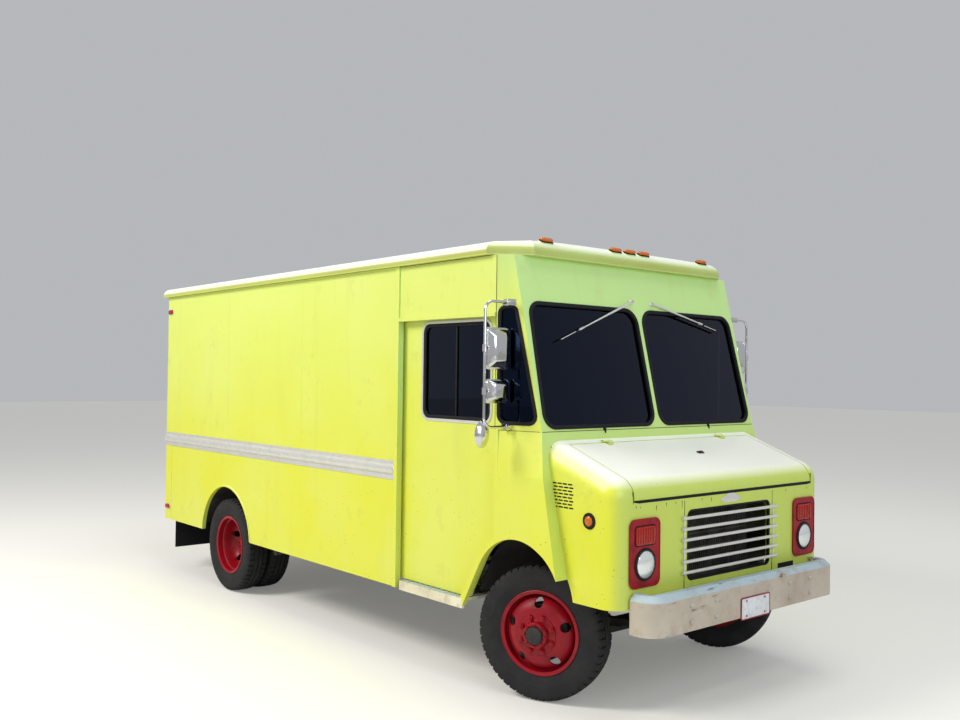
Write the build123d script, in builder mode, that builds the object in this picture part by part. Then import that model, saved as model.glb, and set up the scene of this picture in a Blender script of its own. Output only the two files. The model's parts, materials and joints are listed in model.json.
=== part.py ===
from math import atan, cos, degrees, radians, sin, sqrt
import os

from build123d import *

os.makedirs("parts", exist_ok=True)

# A walk-in delivery van, millimetres, +Z up, front towards -Y, +X the driver's left.
# The origin is on the ground under the middle of the van. Lengths called "back" are
# measured rearwards from the middle of the front wheel arch.

# Driving sizes
wheelbase = 3958
front_overhang = 935  # front axle to the bumper's face
rear_overhang = 1562  # rear axle to the rear step's edge
front_axle_back = 30  # the axle stands a little behind its arch's middle
front_axle_y = front_overhang - (front_overhang + wheelbase + rear_overhang) / 2
arch_y = front_axle_y - front_axle_back
rear_axle_back = front_axle_back + wheelbase
step_edge_back = rear_axle_back + rear_overhang

# Body
body_half_width = 1200
wall = 35
skirt_z = 513
drip_z = 2805
sheet_lap = 2  # the upper side sheet stands proud of the lower one, over the rub rail
body_back = rear_axle_back + 1427
corner_post = 80  # length of the rear corner posts
rear_corner_radius = 50
seam_back = 207  # seam between the cab corner and the door header
door_opening_back = 1250
header_z = drip_z - 395

# Cab front: one raked face, its crease with the corner facets, and the belt seam
belt_z = 1690
rake_foot_back = -134  # the raked face at the belt
rake_slope = 0.24
rake_angle = degrees(atan(rake_slope))
crease_x = body_half_width - 82
cab_wall = 41
pane_bottom_z = belt_z + 25
pane_top_z = drip_z - 310
pane_outer_x = crease_x - 42  # at the bottom
pane_top_x = crease_x - 66
pane_inner_x = 37
pane_radius = 85
glass_thickness = 6

# Nose
nose_half_width = body_half_width - 105
nose_front_back = -722
nose_bottom_z = 695
nose_top_z = 1632  # at the cab
nose_brow_z = 1425  # where the top turns down to the front
nose_brow_back = -690
nose_brow_radius = 130
nose_radius = 120
nose_wall = 25
hood_lip_z = 1318
hood_half_width = nose_half_width - 155
hood_gap = 7
hood_hinge_back = -205

# Wheel arches
front_arch_z = 625
front_arch_radius = 395
arch_flank = 29.4  # degrees, where the arch leaves its circle for the straight rear flank
rear_arch_z = 476
rear_arch_radius = 491

# Wheels
tyre_radius = 425
tyre_half_width = 101
bead_radius = 250
rim_half_width = 89
rim_flange_radius = 265
wheel_offset = 116  # mounting face to the middle of the rim
front_wheel_x = 941
rear_hub_x = 950
kingpin_x = 880
steer_at_rest = 22  # degrees, the front wheels stand turned to the left
axle_z = tyre_radius
running_fit = 0.05  # radial clearance of a turning pin
seat_gap = 0.3

# Chassis
rail_x = 430  # outer face of the rail's web
rail_flange = 65
rail_height = 190
rail_plate = 8
rail_bottom_z = 560
rail_top_z = rail_bottom_z + rail_height
bumper_face_back = front_axle_back - front_overhang
bumper_plate = 10
rail_front_back = bumper_face_back + bumper_plate
rail_back = body_back - corner_post
floor_thickness = 40
floor_z = rail_top_z + floor_thickness

# Sliding doors
door_recess = 50
door_thickness = 30
door_front_back = 202
door_rear_back = 1292
door_bottom_z = 575
door_top_z = header_z + 30
door_travel = 1000

# Bumper
bumper_half_width = nose_half_width - 105
bumper_bottom_z = 560
bumper_top_z = 790


def side(x):
    """Plane across the van's width at x, drawn as (back, height)."""
    return Plane(origin=(x, arch_y, 0), x_dir=(0, 1, 0), z_dir=(1, 0, 0))


def across(back):
    """Plane across the van's length, drawn as (x, height); it extrudes forwards."""
    return Plane(origin=(0, arch_y + back, 0), x_dir=(1, 0, 0), z_dir=(0, -1, 0))


def level(z):
    """Horizontal plane, drawn as (x, back)."""
    return Plane(origin=(0, arch_y, z))


def rake_back(z):
    """Where the raked cab front stands at height z."""
    return rake_foot_back + rake_slope * (z - belt_z)


def rake_plane(depth):
    """The raked cab front moved inwards by depth, drawn as (x, height up the slope)."""
    normal = Vector(0, -cos(radians(rake_angle)), sin(radians(rake_angle)))
    foot = Vector(0, arch_y + rake_foot_back, belt_z)
    return Plane(origin=foot - normal * depth, x_dir=(1, 0, 0), z_dir=normal)


def up_rake(z):
    """Height z measured up the slope from the belt."""
    return (z - belt_z) / cos(radians(rake_angle))


def keep(piece, name):
    """Label a finished piece and write it."""
    piece.label = name
    export_step(piece, f"parts/{name}.step")


def front_arch(grow, plane, bottom_z=380):
    """The front wheel's opening: a circle with a straight rear flank, open below."""
    radius = front_arch_radius + grow
    flank = radians(arch_flank)
    leave = (radius * cos(flank), front_arch_z + radius * sin(flank))
    drop = (leave[1] - bottom_z) / cos(flank)
    foot = (leave[0] + drop * sin(flank), bottom_z)
    with BuildSketch(plane) as arch:
        with BuildLine():
            Polyline((-radius, bottom_z), (-radius, front_arch_z))
            ThreePointArc((-radius, front_arch_z), (0, front_arch_z + radius), leave)
            Polyline(leave, foot, (-radius, bottom_z))
        make_face()
    return arch.sketch


# Ladder frame: two channel rails, crossmembers, spring hangers and engine bearers
front_spring_x = rail_x - rail_flange / 2
front_spring_width = 60
front_spring_reach = 560
rear_spring_x = 545
rear_spring_width = 74
rear_spring_reach = 700
cheek = 8
front_eye_z = 528
rear_eye_z = 606
crossmember_depth = 60
crossmember_backs = (-610, rear_axle_back - 2588, rear_axle_back - 1738, rear_axle_back - 888, rear_axle_back + 812,
                     rail_back - crossmember_depth / 2)
crossmember_bottom_z = 670
crossmember_top_z = rail_top_z - rail_plate

with BuildPart() as frame:
    with BuildSketch(across(rail_front_back)):
        for hand in (-1, 1):
            with Locations((hand * (rail_x - rail_flange / 2), rail_bottom_z + rail_height / 2)):
                Rectangle(rail_flange, rail_height)
            with Locations((hand * (rail_x - (rail_flange + rail_plate) / 2), rail_bottom_z + rail_height / 2)):
                Rectangle(rail_flange - rail_plate, rail_height - 2 * rail_plate, mode=Mode.SUBTRACT)
    extrude(amount=-(rail_back - rail_front_back))
    for back in crossmember_backs:
        with BuildSketch(side(-(rail_x - rail_plate))):
            with Locations((back, (crossmember_bottom_z + crossmember_top_z) / 2)):
                Rectangle(crossmember_depth, crossmember_top_z - crossmember_bottom_z)
            with Locations((back + rail_plate, crossmember_bottom_z)):
                Rectangle(crossmember_depth, 2 * (crossmember_top_z - crossmember_bottom_z - rail_plate),
                          mode=Mode.SUBTRACT)
        extrude(amount=2 * (rail_x - rail_plate))
    # hanger cheeks stand each side of every spring eye
    for hand in (-1, 1):
        for eye_back in (front_axle_back - front_spring_reach, front_axle_back + front_spring_reach):
            for edge in (-1, 1):
                cheek_x = hand * front_spring_x + edge * (front_spring_width + cheek + 1) / 2
                with BuildSketch(side(cheek_x - cheek / 2)):
                    with Locations((eye_back, (front_eye_z - 30 + rail_bottom_z + 60) / 2)):
                        Rectangle(70, rail_bottom_z + 60 - front_eye_z + 30)
                extrude(amount=cheek)
        for eye_back in (rear_axle_back - rear_spring_reach, rear_axle_back + rear_spring_reach):
            for edge in (-1, 1):
                cheek_x = hand * rear_spring_x + edge * (rear_spring_width + cheek + 1) / 2
                with BuildSketch(side(cheek_x - cheek / 2)):
                    with Locations((eye_back, rear_eye_z + 30)):
                        Rectangle(70, 130)
                extrude(amount=cheek)
            with BuildSketch(level(rear_eye_z + 45)):
                with Locations((hand * (rail_x + rear_spring_x + rear_spring_width / 2 + cheek) / 2, eye_back)):
                    Rectangle(rear_spring_x + rear_spring_width / 2 + cheek - rail_x, 70)
            extrude(amount=50)
        # engine bearer from the rail's web to the block
        with BuildSketch(across(130)):
            with Locations((hand * (270 + rail_x - rail_plate) / 2, 680)):
                Rectangle(rail_x - rail_plate - 270, 60)
        extrude(amount=60)
keep(frame.part, "frame")


# Leaf springs: each leaf is a slice of one thick arc, shorter from the top down
def leaf_pack(mid_back, mid_z, reach, rise, leaves, leaf_thickness, width, x, eye_z):
    """A pack of arched leaves with an eye at both ends, centred on x."""
    radius = (reach ** 2 + rise ** 2) / (2 * rise)
    top_z = mid_z + leaves * leaf_thickness
    with BuildPart() as pack:
        for leaf in range(leaves):
            half = reach * (1 - leaf * 0.15)
            upper = radius + leaf * leaf_thickness
            lower = upper + leaf_thickness
            centre_z = top_z + radius
            upper_end = centre_z - sqrt(upper ** 2 - half ** 2)
            lower_end = centre_z - sqrt(lower ** 2 - half ** 2)
            with BuildSketch(side(x - width / 2)):
                with BuildLine():
                    ThreePointArc((mid_back - half, upper_end), (mid_back, centre_z - upper), (mid_back + half, upper_end))
                    Line((mid_back + half, upper_end), (mid_back + half, lower_end))
                    ThreePointArc((mid_back + half, lower_end), (mid_back, centre_z - lower), (mid_back - half, lower_end))
                    Line((mid_back - half, lower_end), (mid_back - half, upper_end))
                make_face()
            extrude(amount=width)
        with BuildSketch(side(x - width / 2)):
            with Locations((mid_back - reach, eye_z), (mid_back + reach, eye_z)):
                Circle(20)
        extrude(amount=width)
    return pack.part


front_beam_top_z = 382
rear_pad_z = 495
with BuildPart() as leaf_springs:
    add(leaf_pack(front_axle_back, front_beam_top_z + 8, front_spring_reach, 90, 5, 10, front_spring_width,
                  -front_spring_x, front_eye_z))
    add(leaf_pack(rear_axle_back, rear_pad_z, rear_spring_reach, 60, 6, 10, rear_spring_width,
                  -rear_spring_x, rear_eye_z))
    mirror(about=Plane.YZ)
keep(leaf_springs.part, "leaf_springs")

# Front axle: a dropped I-beam with an eye for each kingpin
beam_depth = 60
beam_height = 75
eye_radius = 42
eye_bottom_z = 385
eye_top_z = 465
kingpin_radius = 20
beam_drop_x = 620
with BuildPart() as front_axle:
    with BuildSketch(across(front_axle_back - beam_depth / 2)):
        for hand in (-1, 1):
            with BuildLine():
                Polyline((0, front_beam_top_z - beam_height), (hand * beam_drop_x, front_beam_top_z - beam_height),
                         (hand * (kingpin_x - 60), eye_bottom_z), (hand * kingpin_x, eye_bottom_z),
                         (hand * kingpin_x, eye_top_z), (hand * (kingpin_x - 80), eye_top_z),
                         (hand * (beam_drop_x - 20), front_beam_top_z), (0, front_beam_top_z), close=True)
            make_face()
    extrude(amount=-beam_depth)
    for hand in (-1, 1):
        with BuildSketch(level(front_beam_top_z)):
            with Locations((hand * front_spring_x, front_axle_back)):
                Rectangle(front_spring_width, 130)
        extrude(amount=8)
        with BuildSketch(level(eye_bottom_z)):
            with Locations((hand * kingpin_x, front_axle_back)):
                Circle(eye_radius)
        extrude(amount=eye_top_z - eye_bottom_z)
        with BuildSketch(level(eye_bottom_z)):
            with Locations((hand * kingpin_x, front_axle_back)):
                Circle(kingpin_radius + running_fit)
        extrude(amount=eye_top_z - eye_bottom_z, mode=Mode.SUBTRACT)
keep(front_axle.part, "front_axle")

# Rear axle: tube, banjo housing, spring pads, brake backing plates and spindles
axle_tube_radius = 60
backing_x = 640
spindle_radius = 35
spindle_end_x = 985
with BuildPart() as rear_axle:
    with BuildSketch(Plane(origin=(0, arch_y + rear_axle_back, axle_z), x_dir=(1, 0, 0), z_dir=(0, -1, 0))):
        with BuildLine():
            Polyline((-spindle_end_x, 0), (-spindle_end_x, spindle_radius), (-backing_x - 12, spindle_radius),
                     (-backing_x - 12, 170), (-backing_x, 170), (-backing_x, axle_tube_radius),
                     (-190, axle_tube_radius))
            ThreePointArc((-190, axle_tube_radius), (0, 165), (190, axle_tube_radius))
            Polyline((190, axle_tube_radius), (backing_x, axle_tube_radius), (backing_x, 170),
                     (backing_x + 12, 170), (backing_x + 12, spindle_radius), (spindle_end_x, spindle_radius),
                     (spindle_end_x, 0), (-spindle_end_x, 0))
        make_face()
    revolve(axis=Axis((0, arch_y + rear_axle_back, axle_z), (1, 0, 0)))
    for hand in (-1, 1):
        with BuildSketch(level(axle_z)):
            with Locations((hand * rear_spring_x, rear_axle_back)):
                Rectangle(rear_spring_width, 120)
        extrude(amount=rear_pad_z - axle_z)
    with BuildSketch(across(rear_axle_back - 150)):
        with Locations((0, axle_z + 20)):
            Circle(55)
    extrude(amount=90)
keep(rear_axle.part, "rear_axle")

# Engine and gearbox: one plain block at the engine's real place
engine_half_width = 270
engine_front_back = -430
engine_rear_back = 700
gearbox_rear_back = 1250
shaft_z = 600
with BuildPart() as engine_block:
    with BuildSketch(level(620)):
        with Locations((0, (engine_front_back + engine_rear_back) / 2)):
            Rectangle(2 * engine_half_width, engine_rear_back - engine_front_back)
    extrude(amount=540)
    with BuildSketch(across(engine_rear_back)):
        with Locations((0, 635)):
            RectangleRounded(340, 220, 60)
    extrude(amount=-(gearbox_rear_back - engine_rear_back))
keep(engine_block.part, "engine_block")

# Propeller shaft from the gearbox down to the rear axle's nose
axle_nose_back = rear_axle_back - 240
shaft_start = Vector(0, arch_y + gearbox_rear_back, shaft_z)
shaft_end = Vector(0, arch_y + axle_nose_back, axle_z + 20)
shaft_run = shaft_end - shaft_start
with BuildPart() as propshaft:
    with BuildSketch(Plane(origin=shaft_start, z_dir=shaft_run)):
        Circle(42)
    extrude(amount=shaft_run.length)
    for end in (shaft_start, shaft_end - shaft_run.normalized() * 90):
        with BuildSketch(Plane(origin=end, z_dir=shaft_run)):
            Circle(58)
        extrude(amount=90)
    split(bisect_by=across(gearbox_rear_back + 0.3), keep=Keep.BOTTOM)
    split(bisect_by=across(axle_nose_back - 0.3), keep=Keep.TOP)
keep(propshaft.part, "propshaft")

# Radiator behind the grille, with a top and a bottom tank
radiator_back = -600
with BuildPart() as radiator:
    with BuildSketch(across(radiator_back)):
        with Locations((0, 990)):
            Rectangle(720, 420)
    extrude(amount=-50)
    for tank_z in (crossmember_top_z, 1190):
        with BuildSketch(across(radiator_back - 12)):
            with Locations((0, tank_z + 30)):
                RectangleRounded(720, 60, 12)
        extrude(amount=-74)
keep(radiator.part, "radiator")

# Fuel tank on the left rail
with BuildPart() as fuel_tank:
    with BuildSketch(across(1500)):
        with Locations((rail_x + 270, 605)):
            RectangleRounded(540, 260, 60)
    extrude(amount=-1000)
    with BuildSketch(across(1500)):
        with Locations((rail_x + 60, 605)):
            Rectangle(120, 180)
    extrude(amount=-1000)
keep(fuel_tank.part, "fuel_tank")

# Exhaust under the right rail, turned out ahead of the rear wheels
exhaust_x = -315
exhaust_z = 515
tailpipe_back = rear_axle_back - 838
with BuildPart() as exhaust:
    with BuildLine() as exhaust_route:
        FilletPolyline((exhaust_x, arch_y + 350, exhaust_z), (exhaust_x, arch_y + tailpipe_back, exhaust_z),
                       (70 - body_half_width, arch_y + tailpipe_back, exhaust_z - 40), radius=150)
    with BuildSketch(Plane(origin=exhaust_route.line @ 0, z_dir=exhaust_route.line % 0)):
        Circle(28)
    sweep()
    with BuildSketch(across(1650)):
        with Locations((exhaust_x, exhaust_z - 42)):
            Ellipse(110, 80)
    extrude(amount=-800)
    # downpipe flange on the block
    with BuildSketch(level(exhaust_z)):
        with Locations((exhaust_x, 350)):
            Circle(28)
    extrude(amount=180)
    with BuildSketch(side(exhaust_x)):
        with Locations((350, 700)):
            Rectangle(60, 60)
    extrude(amount=-(exhaust_x + engine_half_width))
keep(exhaust.part, "exhaust")

# Engine cover between the seats
cover_half_width = 320
cover_top_z = 1220
cover_rear_back = 780
firewall_plate = 30

# Floors, the wheelhouses that stand through them and the step wells
wheelhouse_shell = 20
front_house_x = 560
front_house_reach = nose_half_width - 35
rear_house_x = 715
house_gap = 20
house_bottom_z = 615
house_front_z = 740  # the front wheelhouse is open below this, for the steered tyre
rear_house_plate_z = 650
rear_house_bottom_z = skirt_z + 60
step_riser_x = 850
step_front_back = 512
step_rear_back = door_opening_back - 33
step_bottom_z = 502
step_tread_z = 567
step_plate = 20
floor_front_back = -320
rear_arch_back = rear_axle_back
inner_x = body_half_width - wall
door_track_rear_back = door_rear_back + door_travel + 60


def rear_house_circle(x, radius, bottom_z):
    """The part of a circle about the rear arch that lies above bottom_z."""
    with BuildSketch(side(x)) as circle:
        with Locations((rear_arch_back, rear_arch_z)):
            Circle(radius)
        with Locations((rear_arch_back, bottom_z - 1000)):
            Rectangle(3000, 2000, mode=Mode.SUBTRACT)
    return circle.sketch


with BuildPart() as floor:
    with BuildSketch(level(rail_top_z)):
        for half_width, start, end in ((body_half_width - 95, step_rear_back, door_track_rear_back),
                                       (inner_x, door_track_rear_back, body_back - corner_post)):
            with Locations((0, (start + end) / 2)):
                Rectangle(2 * half_width, end - start)
    extrude(amount=floor_thickness)
    rear_house_outer = rear_arch_radius + house_gap + wheelhouse_shell
    for hand in (-1, 1):
        extrude(rear_house_circle(hand * (rear_house_x - wheelhouse_shell - seat_gap), rear_house_outer + seat_gap, 0),
                amount=hand * inner_x, mode=Mode.SUBTRACT)
keep(floor.part, "floor")

with BuildPart() as cab_floor:
    with BuildSketch(level(rail_top_z)):
        for half_width, start, end in ((front_house_x - wheelhouse_shell - seat_gap, floor_front_back, step_front_back),
                                       (front_house_reach, 300, step_front_back),
                                       (step_riser_x - step_plate, step_front_back, step_rear_back)):
            with Locations((0, (start + end) / 2)):
                Rectangle(2 * half_width, end - start)
        with Locations((0, (floor_front_back - 10 + cover_rear_back - 20) / 2)):
            Rectangle(2 * cover_half_width - 40, cover_rear_back - 20 - floor_front_back + 10, mode=Mode.SUBTRACT)
    extrude(amount=floor_thickness)
    for hand in (-1, 1):
        cut_face = side(hand * (front_house_x - wheelhouse_shell - seat_gap))
        extrude(front_arch(house_gap + wheelhouse_shell + seat_gap, cut_face), amount=hand * inner_x, mode=Mode.SUBTRACT)
keep(cab_floor.part, "cab_floor")

with BuildPart() as front_wheelhouses:
    for hand in (-1, 1):
        inner_face = side(hand * (front_house_x - wheelhouse_shell))
        shell_face = side(hand * front_house_x)
        shell_length = hand * (front_house_reach - front_house_x)
        extrude(front_arch(house_gap + wheelhouse_shell, inner_face, house_bottom_z), amount=hand * wheelhouse_shell)
        extrude(front_arch(house_gap + wheelhouse_shell, shell_face, house_bottom_z), amount=shell_length)
        extrude(front_arch(house_gap, shell_face, house_bottom_z), amount=shell_length, mode=Mode.SUBTRACT)
        with BuildSketch(inner_face):
            with Locations((-300, house_front_z - 100)):
                Rectangle(600, 200)
        extrude(amount=hand * front_house_reach, mode=Mode.SUBTRACT)
keep(front_wheelhouses.part, "front_wheelhouses")

with BuildPart() as rear_wheelhouses:
    for hand in (-1, 1):
        extrude(rear_house_circle(hand * (rear_house_x - wheelhouse_shell), rear_house_outer, rear_house_plate_z),
                amount=hand * wheelhouse_shell)
        extrude(rear_house_circle(hand * rear_house_x, rear_house_outer, rear_house_bottom_z),
                amount=hand * (inner_x - rear_house_x))
        extrude(rear_house_circle(hand * rear_house_x, rear_arch_radius + house_gap, 0),
                amount=hand * (inner_x - rear_house_x), mode=Mode.SUBTRACT)
keep(rear_wheelhouses.part, "rear_wheelhouses")

# Step boards: a rolled tread in each door opening with a riser up to the floor
with BuildPart() as step_boards:
    with BuildSketch(across(step_front_back)):
        with BuildLine():
            Polyline((-body_half_width, step_bottom_z), (-body_half_width, step_tread_z), (-step_riser_x, step_tread_z),
                     (-step_riser_x, floor_z), (-step_riser_x + step_plate, floor_z),
                     (-step_riser_x + step_plate, step_tread_z - step_plate),
                     (-body_half_width + step_plate, step_tread_z - step_plate),
                     (-body_half_width + step_plate, step_bottom_z), close=True)
        make_face()
    extrude(amount=-(step_rear_back - step_front_back))
    mirror(about=Plane.YZ)
keep(step_boards.part, "step_boards")

# Firewall on the raked plane with the engine cover that runs back between the seats
cowl_bar_z = belt_z - 90  # the body-coloured bar over the firewall starts here
with BuildPart() as firewall:
    with BuildSketch(side(-front_house_reach)):
        with BuildLine():
            Polyline((rake_back(floor_z), floor_z), (rake_back(cowl_bar_z), cowl_bar_z),
                     (rake_back(cowl_bar_z) + firewall_plate, cowl_bar_z), (rake_back(floor_z) + firewall_plate, floor_z),
                     close=True)
        make_face()
    extrude(amount=2 * front_house_reach)
    for hand in (-1, 1):
        house_face = side(hand * (front_house_x - wheelhouse_shell - seat_gap))
        extrude(front_arch(house_gap + wheelhouse_shell + seat_gap, house_face), amount=hand * 700, mode=Mode.SUBTRACT)
    with BuildSketch(across(rake_back(cover_top_z))):
        with Locations((0, (floor_z + cover_top_z) / 2)):
            Rectangle(2 * cover_half_width, cover_top_z - floor_z)
    extrude(amount=-(cover_rear_back - rake_back(cover_top_z)))
    with BuildSketch(across(rake_back(floor_z) - 50)):
        with Locations((0, (floor_z + cover_top_z - 20) / 2)):
            Rectangle(2 * cover_half_width - 40, cover_top_z - 20 - floor_z)
    extrude(amount=-(cover_rear_back - 20 - rake_back(floor_z) + 50), mode=Mode.SUBTRACT)
keep(firewall.part, "firewall")

# Load body sides: an upper and a lower sheet, the rear wheel arch and the raised trim of the door post
rub_bottom_z = 1273
rub_top_z = 1411
corner_wing = 180  # the corner posts' side sheets end this far ahead of the rear
post_trim_width = 40
post_trim_proud = 10
with BuildPart() as right_side_panel:
    with BuildSketch(side(-body_half_width)):
        with Locations(((door_opening_back + body_back - corner_wing) / 2, (skirt_z + drip_z) / 2)):
            Rectangle(body_back - corner_wing - door_opening_back, drip_z - skirt_z)
        with Locations((rear_arch_back, rear_arch_z)):
            Circle(rear_arch_radius, mode=Mode.SUBTRACT)
    extrude(amount=wall)
    with BuildSketch(side(-body_half_width)):
        with Locations(((door_opening_back + body_back) / 2, (skirt_z + rub_top_z) / 2)):
            Rectangle(body_back - door_opening_back + 100, rub_top_z - skirt_z)
    extrude(amount=sheet_lap, mode=Mode.SUBTRACT)
    with BuildSketch(side(-body_half_width - post_trim_proud)):
        with Locations((door_opening_back + post_trim_width / 2, (skirt_z + drip_z) / 2)):
            Rectangle(post_trim_width, drip_z - skirt_z)
    extrude(amount=post_trim_proud + wall)
keep(right_side_panel.part, "right_side_panel")
with BuildPart() as left_side_panel:
    add(mirror(right_side_panel.part, about=Plane.YZ))
keep(left_side_panel.part, "left_side_panel")

# Door headers with the rail that each sliding door hangs from
rail_bar_z = door_top_z + 12
rail_bar_height = 30
rail_bar_width = 12
rail_bar_x = body_half_width - door_recess - 2
header_seam = 3
header_lip = 12
header_lip_height = 22
header_front_back = seam_back + header_seam
with BuildPart() as door_headers:
    with BuildSketch(side(-body_half_width)):
        with Locations(((header_front_back + door_opening_back) / 2, (header_z + drip_z) / 2)):
            Rectangle(door_opening_back - header_front_back, drip_z - header_z)
    extrude(amount=wall)
    with BuildSketch(side(-body_half_width - header_lip)):
        with Locations(((header_front_back + door_opening_back) / 2, header_z + header_lip_height / 2)):
            Rectangle(door_opening_back - header_front_back, header_lip_height)
    extrude(amount=header_lip + wall)
    with BuildSketch(side(-rail_bar_x)):
        with Locations(((door_front_back + door_rear_back + door_travel) / 2 + 20, rail_bar_z + rail_bar_height / 2)):
            Rectangle(door_rear_back + door_travel - door_front_back, rail_bar_height)
    extrude(amount=rail_bar_width)
    with BuildSketch(side(-(body_half_width - wall))):
        with Locations(*[(back, rail_bar_z + rail_bar_height / 2) for back in (280, 640, 1000, 1225)]):
            Rectangle(40, rail_bar_height)
    extrude(amount=body_half_width - wall - rail_bar_x)
    mirror(about=Plane.YZ)
keep(door_headers.part, "door_headers")

# Roof: a crowned shell whose rounded cap overhangs the sides
roof_overhang = 35
roof_front_back = 85
roof_rear_back = body_back + 15
roof_cap_z = drip_z + 35
roof_shoulder_z = drip_z + 90
roof_crown_z = drip_z + 133
roof_skin = 35
roof_corner_back = 270  # where the slanted front corner meets the side
roof_corner_x = body_half_width - 215
visor_foot_z = drip_z + 25  # the front edge stands upright to here, then curves back over its depth
visor_depth = 200
visor_rise = roof_crown_z + 2 - visor_foot_z
roof_lamp_depth = 60  # from the roof's front edge
roof_lamp_xs = (-830, -150, 0, 150, 830)
lamp_pad = 4


def visor_top(depth):
    """Height of the roof's curved front at depth behind its edge."""
    return visor_foot_z + visor_rise * sqrt(1 - ((visor_depth - depth) / visor_depth) ** 2)


def lamp_seat(x, lift):
    """Plane on the curved front at a roof lamp, lifted off the skin."""
    run = (visor_depth - roof_lamp_depth) / visor_depth
    slope = visor_rise / visor_depth * run / sqrt(1 - run ** 2)
    normal = Vector(0, -slope, 1).normalized()
    seat = Vector(x, arch_y + roof_front_back + roof_lamp_depth, visor_top(roof_lamp_depth))
    return Plane(origin=seat + normal * lift, x_dir=(1, 0, 0), z_dir=normal)


def visor_block(plane):
    """Everything behind and below the curved front, drawn as (depth behind the edge, height)."""
    with BuildSketch(plane) as outline:
        with BuildLine():
            Polyline((visor_depth, visor_foot_z + visor_rise), (9000, visor_foot_z + visor_rise), (9000, drip_z - 60),
                     (0, drip_z - 60), (0, visor_foot_z))
            EllipticalCenterArc((visor_depth, visor_foot_z), visor_depth, visor_rise, start_angle=90, arc_size=90)
        make_face()
    return extrude(outline.sketch, amount=6000, both=True, mode=Mode.PRIVATE)


def roof_section(inset, plane, bottom_z):
    """The roof's cross-section, drawn in by inset all round its top."""
    edge = body_half_width + roof_overhang - inset
    if inset:
        edge = body_half_width - wall
    with BuildSketch(plane) as section:
        with BuildLine():
            Polyline((-edge, bottom_z), (-edge, roof_cap_z - inset))
            ThreePointArc((-edge, roof_cap_z - inset), (-edge + 28, roof_shoulder_z - inset - 17),
                          (-edge + 90, roof_shoulder_z - inset))
            ThreePointArc((-edge + 90, roof_shoulder_z - inset), (0, roof_crown_z - inset),
                          (edge - 90, roof_shoulder_z - inset))
            ThreePointArc((edge - 90, roof_shoulder_z - inset), (edge - 28, roof_shoulder_z - inset - 17),
                          (edge, roof_cap_z - inset))
            Polyline((edge, roof_cap_z - inset), (edge, bottom_z), (-edge, bottom_z))
        make_face()
    return section.sketch


def roof_plan(inset):
    """The roof's outline from above, with the front corners cut back over the facets."""
    edge = body_half_width + roof_overhang - inset
    front = roof_front_back + inset
    corner_x = roof_corner_x - inset / 2
    corner_back = roof_corner_back + inset / 2
    with BuildSketch(level(drip_z - 50)) as plan:
        with BuildLine():
            Polyline((-edge, roof_rear_back - inset), (-edge, corner_back), (-corner_x, front),
                     (corner_x, front), (edge, corner_back), (edge, roof_rear_back - inset), close=True)
        make_face()
        fillet(plan.vertices().group_by(Axis.Y)[0], 60)
    return plan.sketch


with BuildPart() as roof_hollow:
    extrude(roof_section(roof_skin, across(roof_front_back + 70), drip_z - 20), amount=-(roof_rear_back - roof_front_back - 150))
    extrude(roof_plan(110), amount=300, mode=Mode.INTERSECT)
corner_run = Vector(body_half_width + roof_overhang - roof_corner_x, roof_corner_back - roof_front_back, 0).normalized()
with BuildPart() as roof:
    extrude(roof_section(0, across(roof_front_back - 10), drip_z), amount=-(roof_rear_back - roof_front_back + 20))
    extrude(roof_plan(0), amount=300, mode=Mode.INTERSECT)
    front_edge = Plane(origin=(0, arch_y + roof_front_back, 0), x_dir=(0, 1, 0), z_dir=(1, 0, 0))
    add(visor_block(front_edge), mode=Mode.INTERSECT)
    for hand in (-1, 1):
        corner = Vector(hand * roof_corner_x, arch_y + roof_front_back, 0)
        inward = Vector(-hand * corner_run.Y, corner_run.X, 0)
        corner_plane = Plane(origin=corner, x_dir=inward, z_dir=inward.cross(Vector(0, 0, 1)))
        add(visor_block(corner_plane), mode=Mode.INTERSECT)
    add(roof_hollow.part, mode=Mode.SUBTRACT)
    for x in roof_lamp_xs:
        with BuildSketch(lamp_seat(x, -25)):
            RectangleRounded(120, 54, 20)
        extrude(amount=25 + lamp_pad)
keep(roof.part, "roof")

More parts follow.
